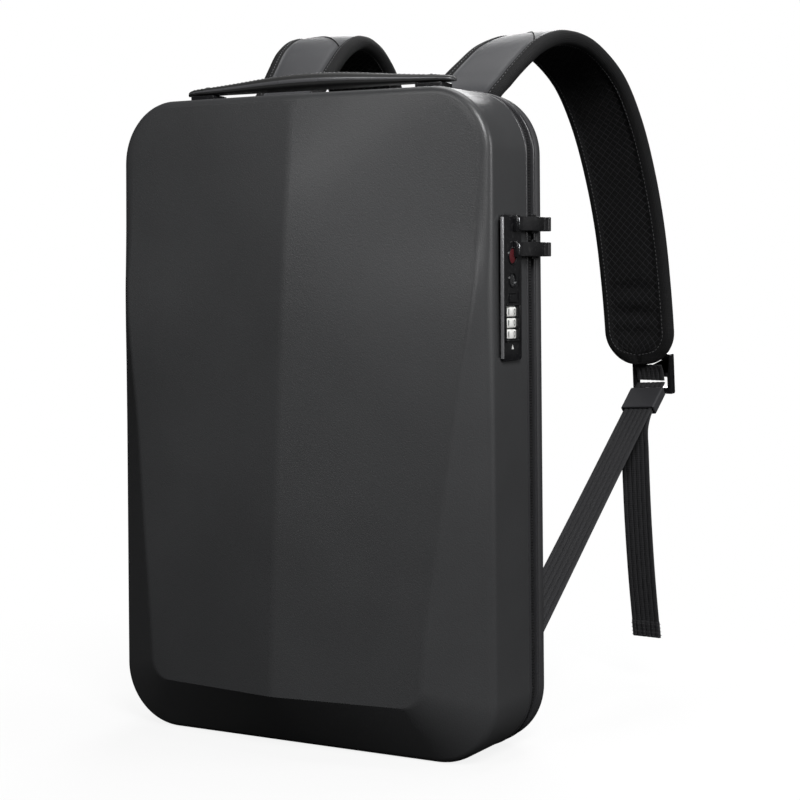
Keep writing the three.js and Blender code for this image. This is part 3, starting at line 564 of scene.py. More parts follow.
def finish_mesh(name: str, made: bmesh.types.BMesh, finishes: Sequence[Finish], crease: float) -> Piece:
    """Turns a bmesh into a piece.

    Args:
        name: The piece's name.
        made: The mesh, which is freed.
        finishes: One for each of its material numbers.
        crease: The angle in degrees past which an edge is sharp.

    Returns:
        The piece's object, at the origin.
    """
    mesh = bpy.data.meshes.new(name)
    made.to_mesh(mesh)
    made.free()
    for finish in finishes:
        mesh.materials.append(dressed(finish))
    mesh.set_sharp_from_angle(angle=math.radians(crease))
    piece = bpy.data.objects.new(name, mesh)
    bpy.context.scene.collection.objects.link(piece)
    return piece


def settled(piece: Piece) -> Piece:
    """Turns a piece's modifiers into plain mesh."""
    depsgraph = bpy.context.evaluated_depsgraph_get()
    mesh = bpy.data.meshes.new_from_object(piece.evaluated_get(depsgraph), depsgraph=depsgraph)
    piece.modifiers.clear()
    old = piece.data
    piece.data = mesh
    bpy.data.meshes.remove(old)
    mesh.name = piece.name
    return piece


def place_on(piece: Piece, finish: Finish, *nodes: str, body: str = "case") -> Piece:
    """Gives a piece its body, and hides the nodes that it stands for.

    Args:
        piece: The piece.
        finish: Not used.
        *nodes: The frame's nodes that it replaces.
        body: The body that it rides on.

    Returns:
        The piece.
    """
    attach(piece, body)
    if nodes:
        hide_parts(*nodes)
    log.info("%s: %d faces", piece.name, len(piece.data.polygons))
    return piece


def refined(
    node: str, name: str, finish: Finish, bevel: float, segments: int = 3, body: str = "case"
) -> None:
    """Replaces a frame node with a copy that has merged faces and rounded edges.

    Args:
        node: The node.
        name: The new piece's name.
        finish: Its finish.
        bevel: The width of its rounded edges in millimetres.
        segments: How many faces round an edge.
        body: The body that it rides on.
    """
    made = bmesh.new()
    made.from_mesh(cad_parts[node].data)
    bmesh.ops.remove_doubles(made, verts=made.verts, dist=MERGE)
    bmesh.ops.dissolve_limit(
        made, angle_limit=math.radians(NEARLY_FLAT), verts=made.verts, edges=made.edges
    )
    for face in made.faces:
        face.smooth = True
        face.material_index = 0
    piece = finish_mesh(name, made, [finish], 40.0)
    rounding = piece.modifiers.new("rounded_edges", "BEVEL")
    rounding.width = bevel * MM
    rounding.segments = segments
    rounding.limit_method = "ANGLE"
    rounding.angle_limit = math.radians(ROUNDED_FROM)
    rounding.use_clamp_overlap = True
    rounding.harden_normals = True
    place_on(settled(piece), finish, node, body=body)


def circle(count: int) -> list[Place]:
    """Cosine and sine of equal turns round a circle."""
    return [(math.cos(2 * math.pi * i / count), math.sin(2 * math.pi * i / count)) for i in range(count)]


def rounded_block(name: str, low: Spot, high: Spot, finish: Finish, bevel: float) -> Piece:
    """A block with rounded edges between two corners in millimetres.

    Args:
        name: The piece's name.
        low: Its lowest corner.
        high: Its highest corner.
        finish: Its finish.
        bevel: The width of its rounded edges.

    Returns:
        The piece.
    """
    made = bmesh.new()
    size = [(b - a) * MM for a, b in zip(low, high)]
    centre = [(a + b) / 2 * MM for a, b in zip(low, high)]
    bmesh.ops.create_cube(made, size=1.0, matrix=Matrix.Translation(centre) @ Matrix.Diagonal((*size, 1.0)))
    bmesh.ops.bevel(
        made,
        geom=made.edges[:],
        offset=bevel * MM,
        segments=3,
        profile=0.5,
        affect="EDGES",
        clamp_overlap=True,
    )
    for face in made.faces:
        face.smooth = True
    return finish_mesh(name, made, [finish], 50.0)


def disc_along_x(name: str, centre: Place, profile: Sequence[Place], finish: Finish) -> Piece:
    """A turned piece on the lock.

    Args:
        name: The piece's name.
        centre: Where its axis meets X = 0: its Y and Z.
        profile: X and radius from its back to its front, in millimetres.
        finish: Its finish.

    Returns:
        The piece.
    """
    y, z = centre
    rings = [[Vector((x, y + radius * c, z + radius * s)) for c, s in circle(48)] for x, radius in profile]
    return Skin(rings, finishes=[finish], crease=30.0).build(name)


# Rows of small repeated solids


@dataclass
class Row:
    """Equal small solids along a path, made by a geometry node tree."""

    shape: RepeatShape
    pitch: float
    size: tuple[float, float, float]

    def tree(self, finish: Finish) -> Tree:
        """Makes the tree.

        Args:
            finish: The finish of the repeated solid.

        Returns:
            A tree with named inputs for the pitch and the size.
        """
        tree = bpy.data.node_groups.new(f"row_of_{self.shape.value}s", "GeometryNodeTree")
        for label, kind in (("Path", "Geometry"), ("Pitch", "Float"), ("Size", "Vector")):
            tree.interface.new_socket(label, in_out="INPUT", socket_type=f"NodeSocket{kind}")
        tree.interface.new_socket("Solids", in_out="OUTPUT", socket_type="NodeSocketGeometry")
        board = NodeBoard(tree)
        given = board.add("NodeGroupInput")
        curve = board.add("GeometryNodeMeshToCurve", {"Mesh": given.outputs["Path"]})
        spaced = board.add(
            "GeometryNodeResampleCurve",
            {"Curve": curve.outputs["Curve"], "Length": given.outputs["Pitch"]},
            mode="LENGTH",
        )
        outward = board.add("GeometryNodeInputNamedAttribute", {"Name": "outward"}, data_type="FLOAT_VECTOR")
        align = "FunctionNodeAlignRotationToVector"
        upright = board.add(align, {"Vector": outward.outputs["Attribute"]}, axis="Z")
        tangent = board.add("GeometryNodeInputTangent")
        turned = {"Rotation": upright.outputs["Rotation"], "Vector": tangent.outputs["Tangent"]}
        facing = board.add(align, turned, axis="X", pivot_axis="Z")
        solid = self.solid(board, given.outputs["Size"])
        copies = board.add(
            "GeometryNodeInstanceOnPoints",
            {"Points": spaced.outputs["Curve"], "Instance": solid, "Rotation": facing.outputs["Rotation"]},
        )
        real = board.add("GeometryNodeRealizeInstances", {"Geometry": copies.outputs["Instances"]})
        painted = board.add(
            "GeometryNodeSetMaterial", {"Geometry": real.outputs["Geometry"], "Material": dressed(finish)}
        )
        board.add("NodeGroupOutput", {"Solids": painted.outputs["Geometry"]})
        return tree

    def solid(self, board: NodeBoard, size: Socket) -> Socket:
        """The solid that is repeated, of a given size.

        Args:
            board: The tree's board.
            size: Its size along the path, across it and outwards.

        Returns:
            The socket of its mesh.
        """
        if self.shape is RepeatShape.BLOCK:
            return board.add("GeometryNodeMeshCube", {"Size": size}).outputs["Mesh"]
        ball = board.add("GeometryNodeMeshUVSphere", {"Segments": 8, "Rings": 5, "Radius": 0.5})
        shaped = board.add("GeometryNodeTransform", {"Geometry": ball.outputs["Mesh"], "Scale": size})
        smooth = board.add("GeometryNodeSetShadeSmooth", {"Geometry": shaped.outputs["Geometry"]})
        return smooth.outputs["Geometry"]

    def build(self, name: str, paths: Sequence[Lane], finish: Finish) -> None:
        """Makes the row, as a piece of the case.

        Args:
            name: The piece's name.
            paths: Points in millimetres and the outward direction at each, for each path.
            finish: The finish of the solids.
        """
        mesh = bpy.data.meshes.new(name)
        points = [tuple(point * MM) for path, _ in paths for point in path]
        edges, start = [], 0
        for path, _ in paths:
            edges += [(start + i, start + i + 1) for i in range(len(path) - 1)]
            start += len(path)
        mesh.from_pydata(points, edges, [])
        outward = mesh.attributes.new("outward", "FLOAT_VECTOR", "POINT")
        for i, way in enumerate(way for _, ways in paths for way in ways):
            outward.data[i].vector = way
        piece = bpy.data.objects.new(name, mesh)
        bpy.context.scene.collection.objects.link(piece)
        modifier = piece.modifiers.new("row", "NODES")
        tree = self.tree(finish)
        modifier.node_group = tree
        sockets = {item.name: item.identifier for item in tree.interface.items_tree if item.in_out == "INPUT"}
        modifier[sockets["Pitch"]] = self.pitch * MM
        modifier[sockets["Size"]] = [side * MM for side in self.size]
        settled(piece)
        if not piece.data.materials:
            piece.data.materials.append(dressed(finish))
        place_on(piece, finish)


# Paths


class SmoothPath:
    """A smooth curve through places, measured by its length."""

    def __init__(self, places: Sequence[Vector], steps: int = 40) -> None:
        """Samples the curve.

        Args:
            places: The places that it passes through.
            steps: How many samples between two places.
        """
        first, last = places[0] * 2 - places[1], places[-1] * 2 - places[-2]
        padded = [first, *places, last]
        self.points: list[Vector] = []
        for i in range(len(places) - 1):
            spans = [max((padded[i + k + 1] - padded[i + k]).length ** 0.5, 1e-4) for k in range(3)]
            for k in range(steps):
                self.points.append(self.between(padded[i : i + 4], spans, k / steps))
        self.points.append(places[-1].copy())
        self.reach = Skin.lengths(self.points)
        self.length = self.reach[-1]

    @staticmethod
    def between(near: Sequence[Vector], spans: Sequence[float], t: float) -> Vector:
        """A point between the second and third of four places.

        Args:
            near: The four places.
            spans: The root of the distance between each two.
            t: How far from the second to the third.

        Returns:
            The point.
        """
        p0, p1, p2, p3 = near
        s0, s1, s2 = spans
        leave = ((p1 - p0) / s0 - (p2 - p0) / (s0 + s1) + (p2 - p1) / s1) * s1
        arrive = ((p2 - p1) / s1 - (p3 - p1) / (s1 + s2) + (p3 - p2) / s2) * s1
        rise = p2 - p1
        return p1 + leave * t + (rise * 3 - leave * 2 - arrive) * t * t + (leave + arrive - rise * 2) * t**3

    def at(self, share: float) -> Vector:
        """The point at a share of the length."""
        goal = min(max(share, 0.0), 1.0) * self.length
        low, high = 0, len(self.reach) - 1
        while high - low > 1:
            middle = (low + high) // 2
            low, high = (middle, high) if self.reach[middle] <= goal else (low, middle)
        step = self.reach[high] - self.reach[low]
        return self.points[low].lerp(self.points[high], (goal - self.reach[low]) / step if step else 0.0)

    def way(self, share: float) -> Vector:
        """The direction at a share of the length."""
        near = 0.5 / self.length
        return (self.at(share + near) - self.at(share - near)).normalized()


def table_value(rows: Sequence[Sequence[float]], place: float, column: int) -> float:
    """A smooth value of one column of a table.

    Args:
        rows: Rows that rise in their first column.
        place: A place in the first column.
        column: The column that is read.

    Returns:
        The value there.
    """
    after = next((i for i, row in enumerate(rows) if row[0] > place), len(rows) - 1)
    after = max(after, 1)
    r0, r1, r2, r3 = (rows[min(max(after + k, 0), len(rows) - 1)] for k in (-2, -1, 0, 1))
    span = r2[0] - r1[0]
    t = min(max((place - r1[0]) / span, 0.0), 1.0)
    slope_in = (r2[column] - r0[column]) / (r2[0] - r0[0]) * span
    slope_out = (r3[column] - r1[column]) / (r3[0] - r1[0]) * span
    rise = r2[column] - r1[column]
    turn = 3 * rise - 2 * slope_in - slope_out
    return r1[column] + t * slope_in + t * t * turn + t**3 * (slope_in + slope_out - 2 * rise)


def smooth_step(value: float, low: float, high: float) -> float:
    """From 0 to 1 as a value goes from low to high, with level ends."""
    t = min(max((value - low) / (high - low), 0.0), 1.0)
    return t * t * (3 - 2 * t)


def bend(start: Vector, corner: Vector, end: Vector, share: float) -> Vector:
    """A point of the rounded corner between two straight runs."""
    return start.lerp(corner, share).lerp(corner.lerp(end, share), share)


# The case


@dataclass
class CaseForm:
    """The moulded case: its outline and the relief of its front."""

    height: float = 450.0
    width: float = 299.0
    widening: float = 0.02
    rim_y: float = -38.5
    back_y: float = 38.5
    corner: float = 43.6
    gap: float = 0.3
    ridge_rise: float = 38.6
    edge_rise: float = 25.8
    panel_inset: float = 42.4
    panel_bottom: float = 41.0
    panel_corner: float = 14.0
    panel_top_margin: float = 8.0
    # Share of the height, then shares of the ridge's rise, the panel edge's rise and the panel's inset
    relief: tuple = (
        (0.00, 1.000, 1.000, 1.000),
        (0.09, 1.000, 1.000, 1.000),
        (0.22, 0.915, 0.953, 0.892),
        (0.31, 0.855, 0.841, 0.769),
        (0.40, 0.769, 0.717, 0.646),
        (0.49, 0.690, 0.609, 0.531),
        (0.58, 0.620, 0.523, 0.384),
        (0.67, 0.550, 0.400, 0.240),
        (0.80, 0.420, 0.140, 0.110),
        (1.00, 0.155, 0.000, 0.000),
    )
    edge_steps: int = 12
    corner_steps: int = 26
    side_steps: int = 56

    def flare(self, z: float) -> float:
        """How much wider the case is at a height than at its middle."""
        return 1 + self.widening * (0.5 - z / self.height)

    def outline(
        self,
        side_at: Callable[[float], float],
        bottom: float,
        top: float,
        low_radius: float,
        high_radius: float,
    ) -> list[Place]:
        """A closed outline, as X and Z.

        Args:
            side_at: Half the width at a height.
            bottom: Its lowest Z.
            top: Its highest Z.
            low_radius: The radius of its lower corners.
            high_radius: The radius of its upper corners.

        Returns:
            Its points from the middle of the bottom, right side first.
        """
        low_x = side_at(bottom + low_radius) - low_radius
        high_x = side_at(top - high_radius) - high_radius
        half = [(low_x * i / self.edge_steps, bottom) for i in range(self.edge_steps)]
        turns = [i / self.corner_steps * math.pi / 2 for i in range(self.corner_steps)]
        half += [(low_x + low_radius * math.sin(t), bottom + low_radius * (1 - math.cos(t))) for t in turns]
        start, end = bottom + low_radius, top - high_radius
        heights = [start + (end - start) * i / self.side_steps for i in range(self.side_steps)]
        half += [(side_at(z), z) for z in heights]
        half += [(high_x + high_radius * math.cos(t), top - high_radius * (1 - math.sin(t))) for t in turns]
        half += [(high_x * (1 - i / self.edge_steps), top) for i in range(self.edge_steps + 1)]
        mirrored = [(-x, z) for x, z in reversed(half[1:-1])]
        return [(x * self.flare(z), z) for x, z in half + mirrored]

    def ring(self, inset: float, y: float) -> Ring:
        """The case's outline at a depth, moved inwards by an inset."""
        side, radius = self.width / 2 - inset, max(self.corner - inset, 2.0)
        places = self.outline(lambda z: side, inset, self.height - inset, radius, radius)
        return [Vector((x, y, z)) for x, z in places]

    def relief_at(self, z: float, column: int, size: float) -> float:
        """A size of the relief at a height."""
        return size * table_value(self.relief, z / self.height, column)

    def panel_rise(self, x: float, z: float) -> float:
        """How far the two flat panels stand in front of the rim."""
        ridge, edge = self.relief_at(z, 1, self.ridge_rise), self.relief_at(z, 2, self.edge_rise)
        reach = self.width / 2 - self.relief_at(z, 3, self.panel_inset)
        return ridge + (edge - ridge) * abs(x / self.flare(z)) / reach

    def rim_rise(self, x: float, z: float, inset: float) -> float:
        """How far the ridge lifts the rim along the top edge."""
        if z <= self.height / 2:
            return 0.0
        reach = (self.width / 2 - inset) * self.flare(z)
        return self.relief_at(z, 1, self.ridge_rise) * max(1 - abs(x) / reach, 0.0)

    def panel_side(self, z: float, inset: float) -> float:
        """Half the width between the panels' outer edges at a height."""
        return self.width / 2 - max(self.relief_at(z, 3, self.panel_inset), self.panel_top_margin) - inset

    def front_lines(self, inset: float) -> list[tuple[Vector, Vector, Vector]]:
        """Where the front's planes meet.

        Args:
            inset: How far inside the face.

        Returns:
            A rim corner, a panel corner and a ridge point for each point of the outline.
        """
        rim, rim_y = self.ring(inset, 0.0), self.rim_y + inset
        panel = self.outline(
            lambda z: self.panel_side(z, inset),
            self.panel_bottom,
            self.height - self.panel_top_margin - inset,
            self.panel_corner,
            self.corner - self.panel_top_margin - inset,
        )
        lines = []
        for corner, (x, z) in zip(rim, panel):
            corner.y = rim_y - self.rim_rise(corner.x, corner.z, inset)
            edge = Vector((x, rim_y - self.panel_rise(x, z), z))
            ridge = Vector((0.0, rim_y - self.panel_rise(0.0, z), z))
            lines.append((corner, edge, ridge))
        return lines


@dataclass
class FrontShell:
    """The hollow front half with its facets, softly rounded edges and the lock's opening."""

    form: CaseForm
    wall: float = 2.8
    back: float = 13.4
    rim_fillet: float = 5.0
    crease_fillet: float = 2.6
    ridge_fillet: float = 3.0
    lock_low: Spot = (120.0, -24.3, 271.7)
    lock_high: Spot = (170.0, -1.7, 362.3)

    def profile(self, corner: Vector, edge: Vector, ridge: Vector) -> Ring:
        """The section from the back of the side wall over the front to the ridge.

        Args:
            corner: Where the wall meets the facet.
            edge: Where the facet meets the panel.
            ridge: Where the two panels meet.

        Returns:
            Its points.
        """
        way, panel_way = (edge - corner).normalized(), (ridge - edge).normalized()
        room = max((edge - corner).length - self.rim_fillet, 0.2)
        round_edge = min(self.crease_fillet, room * 0.9, (ridge - edge).length * 0.4)
        start, facet_start = corner + Vector((0.0, self.rim_fillet, 0.0)), corner + way * self.rim_fillet
        facet_end, panel_start = edge - way * round_edge, edge + panel_way * round_edge
        round_ridge = min(self.ridge_fillet, (ridge - edge).length * 0.3)
        panel_end = ridge - panel_way * round_ridge
        past_ridge = panel_end + Vector((-2 * panel_end.x, 0.0, 0.0))
        points = [Vector((corner.x, self.back - 0.6 * share, corner.z)) for share in (0.0, 1.0)]
        points += [Vector((corner.x, y, corner.z)) for y in (0.0, -16.0)]
        points += [bend(start, corner, facet_start, k / 6) for k in range(7)]
        points += [facet_start.lerp(facet_end, k / 4) for k in (1, 2, 3)]
        points += [bend(facet_end, edge, panel_start, k / 6) for k in range(7)]
        points += [panel_start.lerp(panel_end, k / 8) for k in range(1, 8)]
        points += [bend(panel_end, ridge, past_ridge, k / 8) for k in range(5)]
        return points

    def inner(self, corner: Vector, edge: Vector, ridge: Vector) -> Ring:
        """The section of the inner face, from the ridge to the back of the wall."""
        return [ridge, edge, corner] + [Vector((corner.x, y, corner.z)) for y in (0.0, self.back)]

    def build(self) -> None:
        """Makes the shell and cuts the lock's opening."""
        outer = [self.profile(*lines) for lines in self.form.front_lines(0.0)]
        inner = [self.inner(*lines) for lines in self.form.front_lines(self.wall)]
        sections = [b + a for a, b in zip(outer, inner)]
        rings = [[section[k] for section in sections] for k in range(len(sections[0]))]
        piece = Skin(rings, capped=False, finishes=[SHELL], crease=35.0).build("shell_front")
        cutter = rounded_block("lock_opening", self.lock_low, self.lock_high, SHELL, 1.0)
        opening = piece.modifiers.new("opening", "BOOLEAN")
        opening.operation, opening.object, opening.solver = "DIFFERENCE", cutter, "EXACT"
        flatness = piece.modifiers.new("flat_faces", "WEIGHTED_NORMAL")
        flatness.keep_sharp = True
        settled(piece)
        bpy.data.objects.remove(cutter)
        place_on(piece, SHELL, "front_shell")


@dataclass
class SideBands:
    """The two beads round the side wall and the closed zip between them."""

    form: CaseForm
    bead_depth: float = 3.0
    bead_stand: float = 0.5
    front_bead: Place = (13.7, 17.3)
    back_bead: Place = (25.3, 28.7)
    tape: Place = (17.6, 25.0)
    tape_inset: float = 1.4
    tape_thickness: float = 1.2
    tooth_pitch: float = 1.9
    tooth_size: Spot = (1.1, 3.4, 0.9)

    def band(self, name: str, node: str, section: Sequence[Place], finish: Finish) -> None:
        """Sweeps a closed section round the case.

        Args:
            name: The piece's name.
            node: The node that it replaces.
            section: Inset and depth of each of its points.
            finish: Its finish.
        """
        rings = [self.form.ring(inset, y) for inset, y in section]
        turned = [[ring[i] for ring in rings] for i in range(len(rings[0]))]
        piece = Skin(turned, closed_along=True, finishes=[finish], crease=50.0).build(name)
        place_on(piece, finish, node)

    def bead(self, name: str, node: str, ends: Place) -> None:
        """A rounded bead between two depths.

        Args:
            name: The piece's name.
            node: The node that it replaces.
            ends: Where it starts and ends.
        """
        middle, half = sum(ends) / 2, (ends[1] - ends[0]) / 2
        section = []
        for k in range(11):
            turn = math.pi * k / 10
            bulge = math.sin(turn) ** 0.6
            section.append((1.1 - (1.1 + self.bead_stand) * bulge, middle - half * math.cos(turn)))
        section += [(self.bead_depth, ends[1]), (self.bead_depth, ends[0])]
        self.band(name, node, section, LIP)

    def build(self) -> None:
        """Makes the beads, the tape and its teeth."""
        self.bead("bead_front", "front_lip", self.front_bead)
        self.bead("bead_back", "back_lip", self.back_bead)
        low, high = self.tape
        seam, top, under = (low + high) / 2, self.tape_inset, self.tape_inset + self.tape_thickness
        section = [(top + 0.3, low), (top, low + 0.8), (top, seam - 2.2), (top + 0.35, seam - 1.9)]
        section += [(top + 0.35, seam + 1.9), (top, seam + 2.2), (top, high - 0.8), (top + 0.3, high)]
        section += [(under, high), (under, low)]
        self.band("zip_band", "zipper_strip", section, ZIP_TAPE)
        path, inner = self.form.ring(top + 0.1, seam), self.form.ring(top + 5.0, seam)
        ways = [(a - b).normalized() for a, b in zip(path, inner)]
        row = Row(RepeatShape.BLOCK, self.tooth_pitch, self.tooth_size)
        row.build("zip_teeth", [(path + path[:1], ways + ways[:1])], ZIP_TOOTH)


@dataclass
class BackFrame:
    """The shallow back tray, with its two pads of spacer mesh."""

    form: CaseForm
    depth: float = 9.5
    wall: float = 2.6
    edge: float = 2.6
    core_inset: float = 90.0
    pad_width: float = 86.0
    pad_height: float = 350.0
    pad_bottom: float = 42.0
    pad_gap: float = 28.0
    pad_corner: float = 24.0
    pad_thickness: float = 9.6
    channel_pitch: float = 58.0
    channel_depth: float = 2.6
    channel_width: float = 5.0

    def tray(self) -> None:
        """Makes the tray with a rounded rear edge and a shallow step round its panel."""
        form, back = self.form, self.form.back_y
        front = back - self.depth
        places = [(self.core_inset, back - self.wall), (6.0, back - self.wall)]
        places += [(self.wall, back - self.wall - 3.0), (self.wall, front)]
        places += [(0.5, front), (0.0, front + 0.6), (0.0, back - self.edge - 2.0)]
        for k in range(7):
            turn = math.pi / 2 * k / 6
            places.append((self.edge * (1 - math.cos(turn)), back - self.edge * (1 - math.sin(turn))))
        places += [(9.0, back), (9.5, back - 0.6), (12.0, back - 0.7), (12.6, back - 0.1)]
        places.append((self.core_inset, back))
        rings = []
        for inset, y in places:
            rings.append(form.ring(inset, y) if inset < self.core_inset else self.core(inset, y))
        piece = Skin(rings, finishes=[TRAY], crease=40.0).build("back_tray")
        place_on(piece, TRAY, "back_frame")

    def core(self, inset: float, y: float) -> Ring:
        """A ring near the middle of the panel, with small corners."""
        side = self.form.width / 2 - inset
        places = self.form.outline(lambda z: side, inset, self.form.height - inset, 4.0, 4.0)
        return [Vector((x, y, z)) for x, z in places]

    def pad_ring(self, sign: int, inset: float, height: Callable[[float, float], float]) -> Ring:
        """A ring of a pad.

        Args:
            sign: The side of the back.
            inset: How far inside the pad's outline it lies.
            height: Y at an X and a Z.

        Returns:
            Its points.
        """
        half_w, half_h = self.pad_width / 2 - inset, self.pad_height / 2 - inset
        radius = max(self.pad_corner - inset, 0.01)
        middle_x, middle_z = sign * (self.pad_gap + self.pad_width) / 2, self.pad_bottom + self.pad_height / 2
        arcs = []
        for quarter, (sx, sz) in enumerate(((1, 1), (-1, 1), (-1, -1), (1, -1))):
            x, z = sx * (half_w - radius), sz * (half_h - radius)
            turns = [(quarter + i / 12) * math.pi / 2 for i in range(13)]
            arcs.append([(x + radius * math.cos(t), z + radius * math.sin(t)) for t in turns])
        ring = []
        for quarter, arc in enumerate(arcs):
            (x, z), (next_x, next_z) = arc[-1], arcs[(quarter + 1) % 4][0]
            steps = 90 if quarter % 2 else 14
            run_x, run_z = next_x - x, next_z - z
            ring += arc + [(x + run_x * k / steps, z + run_z * k / steps) for k in range(1, steps)]
        return [Vector((middle_x + x, height(x, z), middle_z + z)) for x, z in ring]

    def pad(self, side: Side) -> None:
        """Makes one crowned pad with sewn channels across it."""
        base = self.form.back_y + self.form.gap
        hub = self.pad_width / 2
        rings = [self.pad_ring(side.value, inset, lambda x, z: base) for inset in (hub, 1.0)]
        insets = [0.0, 0.0, 0.5, 1.6, 3.4, 6.0, 9.5, 14.0, 20.0, 27.0, 34.0, hub]
        rises = [0.10, 0.42, 0.58, 0.70, 0.79, 0.86, 0.91, 0.95, 0.98, 1.0, 1.0, 1.0]
        for inset, rise in zip(insets, rises):
            def height(x: float, z: float, inset: float = inset, rise: float = rise) -> float:
                """The pad's Y: its crown less the channel nearest to it."""
                away = abs((z / self.channel_pitch) % 1.0 - 0.5) * self.channel_pitch
                sunk = self.channel_depth * math.exp(-((away / self.channel_width) ** 2))
                return base + self.pad_thickness * rise - sunk * smooth_step(inset, 0.5, 9.0)
            rings.append(self.pad_ring(side.value, inset, height))
        piece = Skin(rings, capped=False, finishes=[PAD_MESH], crease=60.0).build(f"pad_{side.label}")
        self.map_flat(piece)
        place_on(piece, PAD_MESH, f"back_pad_{side.label}")
        edge = self.pad_ring(side.value, 3.2, lambda x, z: base + self.pad_thickness * 0.79 + 0.05)
        ways = [Vector((0.0, 1.0, 0.0))] * (len(edge) + 1)
        row = Row(RepeatShape.STITCH, 3.4, (2.2, 0.6, 0.6))
        row.build(f"pad_stitches_{side.label}", [(edge + edge[:1], ways)], THREAD)

    @staticmethod
    def map_flat(piece: Piece) -> None:
        """Maps a piece from behind, X across and Z along, in metres."""
        layer = piece.data.uv_layers["UVMap"].data
        for loop in piece.data.loops:
            place = piece.data.vertices[loop.vertex_index].co
            layer[loop.index].uv = (place.x, place.z)

    def build(self) -> None:
        """Makes the tray and both pads."""
        self.tray()
        for side in Side:
            self.pad(side)


# The lock and the zip's hardware


@dataclass
class Lock:
    """The combination lock with its wheels, key, inlay, button and puller seats."""

    plate_x: float = 151.508
    centre_y: float = -13.0
    dial_x: float = 144.008
    dial_radius: float = 9.0
    dial_height: float = 6.4
    dial_bore: float = 2.3
    dial_heights: Spot = (301.2, 293.8, 286.4)
    dial_bodies: tuple[str, str, str] = ("dial_top", "dial_middle", "dial_bottom")
    dial_settings: tuple[int, int, int] = (0, 0, 0)
    digit_size: float = 5.4
    key_z: float = 322.0
    inlay_z: float = 338.0
    pointer_z: float = 277.5
    puller_heights: Place = (359.5, 342.5)

    def block(self, name: str, low: Spot, high: Spot, finish: Finish, bevel: float) -> None:
        """Adds a small rounded block to the plate.

        Args:
            name: The piece's name.
            low: Its lowest corner: X from the plate's face, Y from the lock's middle, and Z.
            high: Its highest corner, given in the same way.
            finish: Its finish.
            bevel: The width of its rounded edges.
        """
        start, end = ((self.plate_x + x, self.centre_y + y, z) for x, y, z in (low, high))
        place_on(rounded_block(name, start, end, finish, bevel), finish)

    def housing(self) -> None:
        """Makes the plate, the window's frame and the seats of the puller tips."""
        refined("lock_body", "lock_housing", LOCK_BLACK, 0.45)
        for label, z in zip(("upper", "lower"), self.puller_heights):
            self.block(f"puller_seat_{label}", (-0.2, 1.6, z - 5.4), (2.7, 7.4, z + 5.4), LOCK_BLACK, 0.7)
            self.block(f"seat_pin_{label}", (2.3, 4.0, z - 3.8), (3.2, 5.6, z + 3.8), CHROME, 0.35)
        # A lighter strip along the plate's front edge: a painted highlight for the light on its chamfer
        self.block("plate_edge_highlight", (-1.9, -14.1, 270.5), (0.2, -12.5, 363.5), PLATE_EDGE_HIGHLIGHT, 0.35)
        ring = ((-0.2, 5.9), (0.55, 5.9), (0.75, 5.6), (0.55, 5.3), (-0.2, 5.3))
        for label, z, scale in (("inlay", self.inlay_z, 1.0), ("key", self.key_z, 0.84)):
            rim = [(self.plate_x + x, radius * scale) for x, radius in ring]
            place_on(disc_along_x(f"rim_{label}", (self.centre_y, z), rim, LOCK_BLACK), LOCK_BLACK)
        self.window()
        self.pointer()

    def window(self) -> None:
        """A raised frame round the number wheels."""
        half = self.dial_height / 2 + 0.6
        low, high = self.dial_heights[-1] - half, self.dial_heights[0] + half
        bars = {
            "top": (-11.0, 11.0, high, high + 1.4),
            "bottom": (-11.0, 11.0, low - 1.4, low),
            "front": (-11.0, -9.6, low - 1.4, high + 1.4),
            "back": (9.6, 11.0, low - 1.4, high + 1.4),
        }
        for label, (y, end_y, z, end_z) in bars.items():
            self.block(f"window_{label}", (-0.3, y, z), (0.7, end_y, end_z), LOCK_BLACK, 0.3)

    def pointer(self) -> None:
        """A small triangle below the wheels."""
        made = bmesh.new()
        x = self.plate_x + 0.12
        corners = ((-1.6, 0.0), (1.6, 0.0), (0.0, 3.0))
        for depth in (x - 0.3, x):
            for y, z in corners:
                made.verts.new(Vector((depth, self.centre_y + y, self.pointer_z - 1.0 + z)) * MM)
        made.verts.ensure_lookup_table()
        back, front = made.verts[:3], made.verts[3:]
        made.faces.new(front)
        made.faces.new(back[::-1])
        for i in range(3):
            j = (i + 1) % 3
            made.faces.new((back[i], back[j], front[j], front[i]))
        bmesh.ops.recalc_face_normals(made, faces=made.faces)
        piece = finish_mesh("wheel_pointer", made, [DIAL_WHITE], 30.0)
        place_on(piece, DIAL_WHITE)

    def wheel(self, index: int) -> None:
        """Makes one number wheel with ten notches and its digits.

        Args:
            index: 0 for the top wheel.
        """
        z, body = self.dial_heights[index], self.dial_bodies[index]
        half, radius = self.dial_height / 2, self.dial_radius
        edge = [(radius - 1.6, 0.0), (radius - 0.7, 0.12), (radius - 0.2, 0.4), (radius, 0.9)]
        profile = [(self.dial_bore, -half)] + [(r, -half + rise) for r, rise in edge]
        profile += [(r, half - rise) for r, rise in reversed(edge)] + [(self.dial_bore, half)]
        rings = []
        for step, (c, s) in enumerate(circle(120)):
            near = abs((step / 12) % 1.0 - 0.5) * 2
            notch = 0.55 * smooth_step(near, 0.62, 1.0)
            ring = []
            for r, rise in profile:
                reach = r - (notch if r > radius - 1.0 else 0.0)
                ring.append(Vector((self.dial_x + reach * c, self.centre_y + reach * s, z + rise)))
            rings.append(ring)
        wheel = Skin(rings, closed_along=True, finishes=[DIAL_WHITE], crease=45.0).build(f"wheel_{index + 1}")
        place_on(wheel, DIAL_WHITE, f"dial_{index + 1}", body=body)
        place_on(self.digits(index, z), DIGIT_INK, body=body)

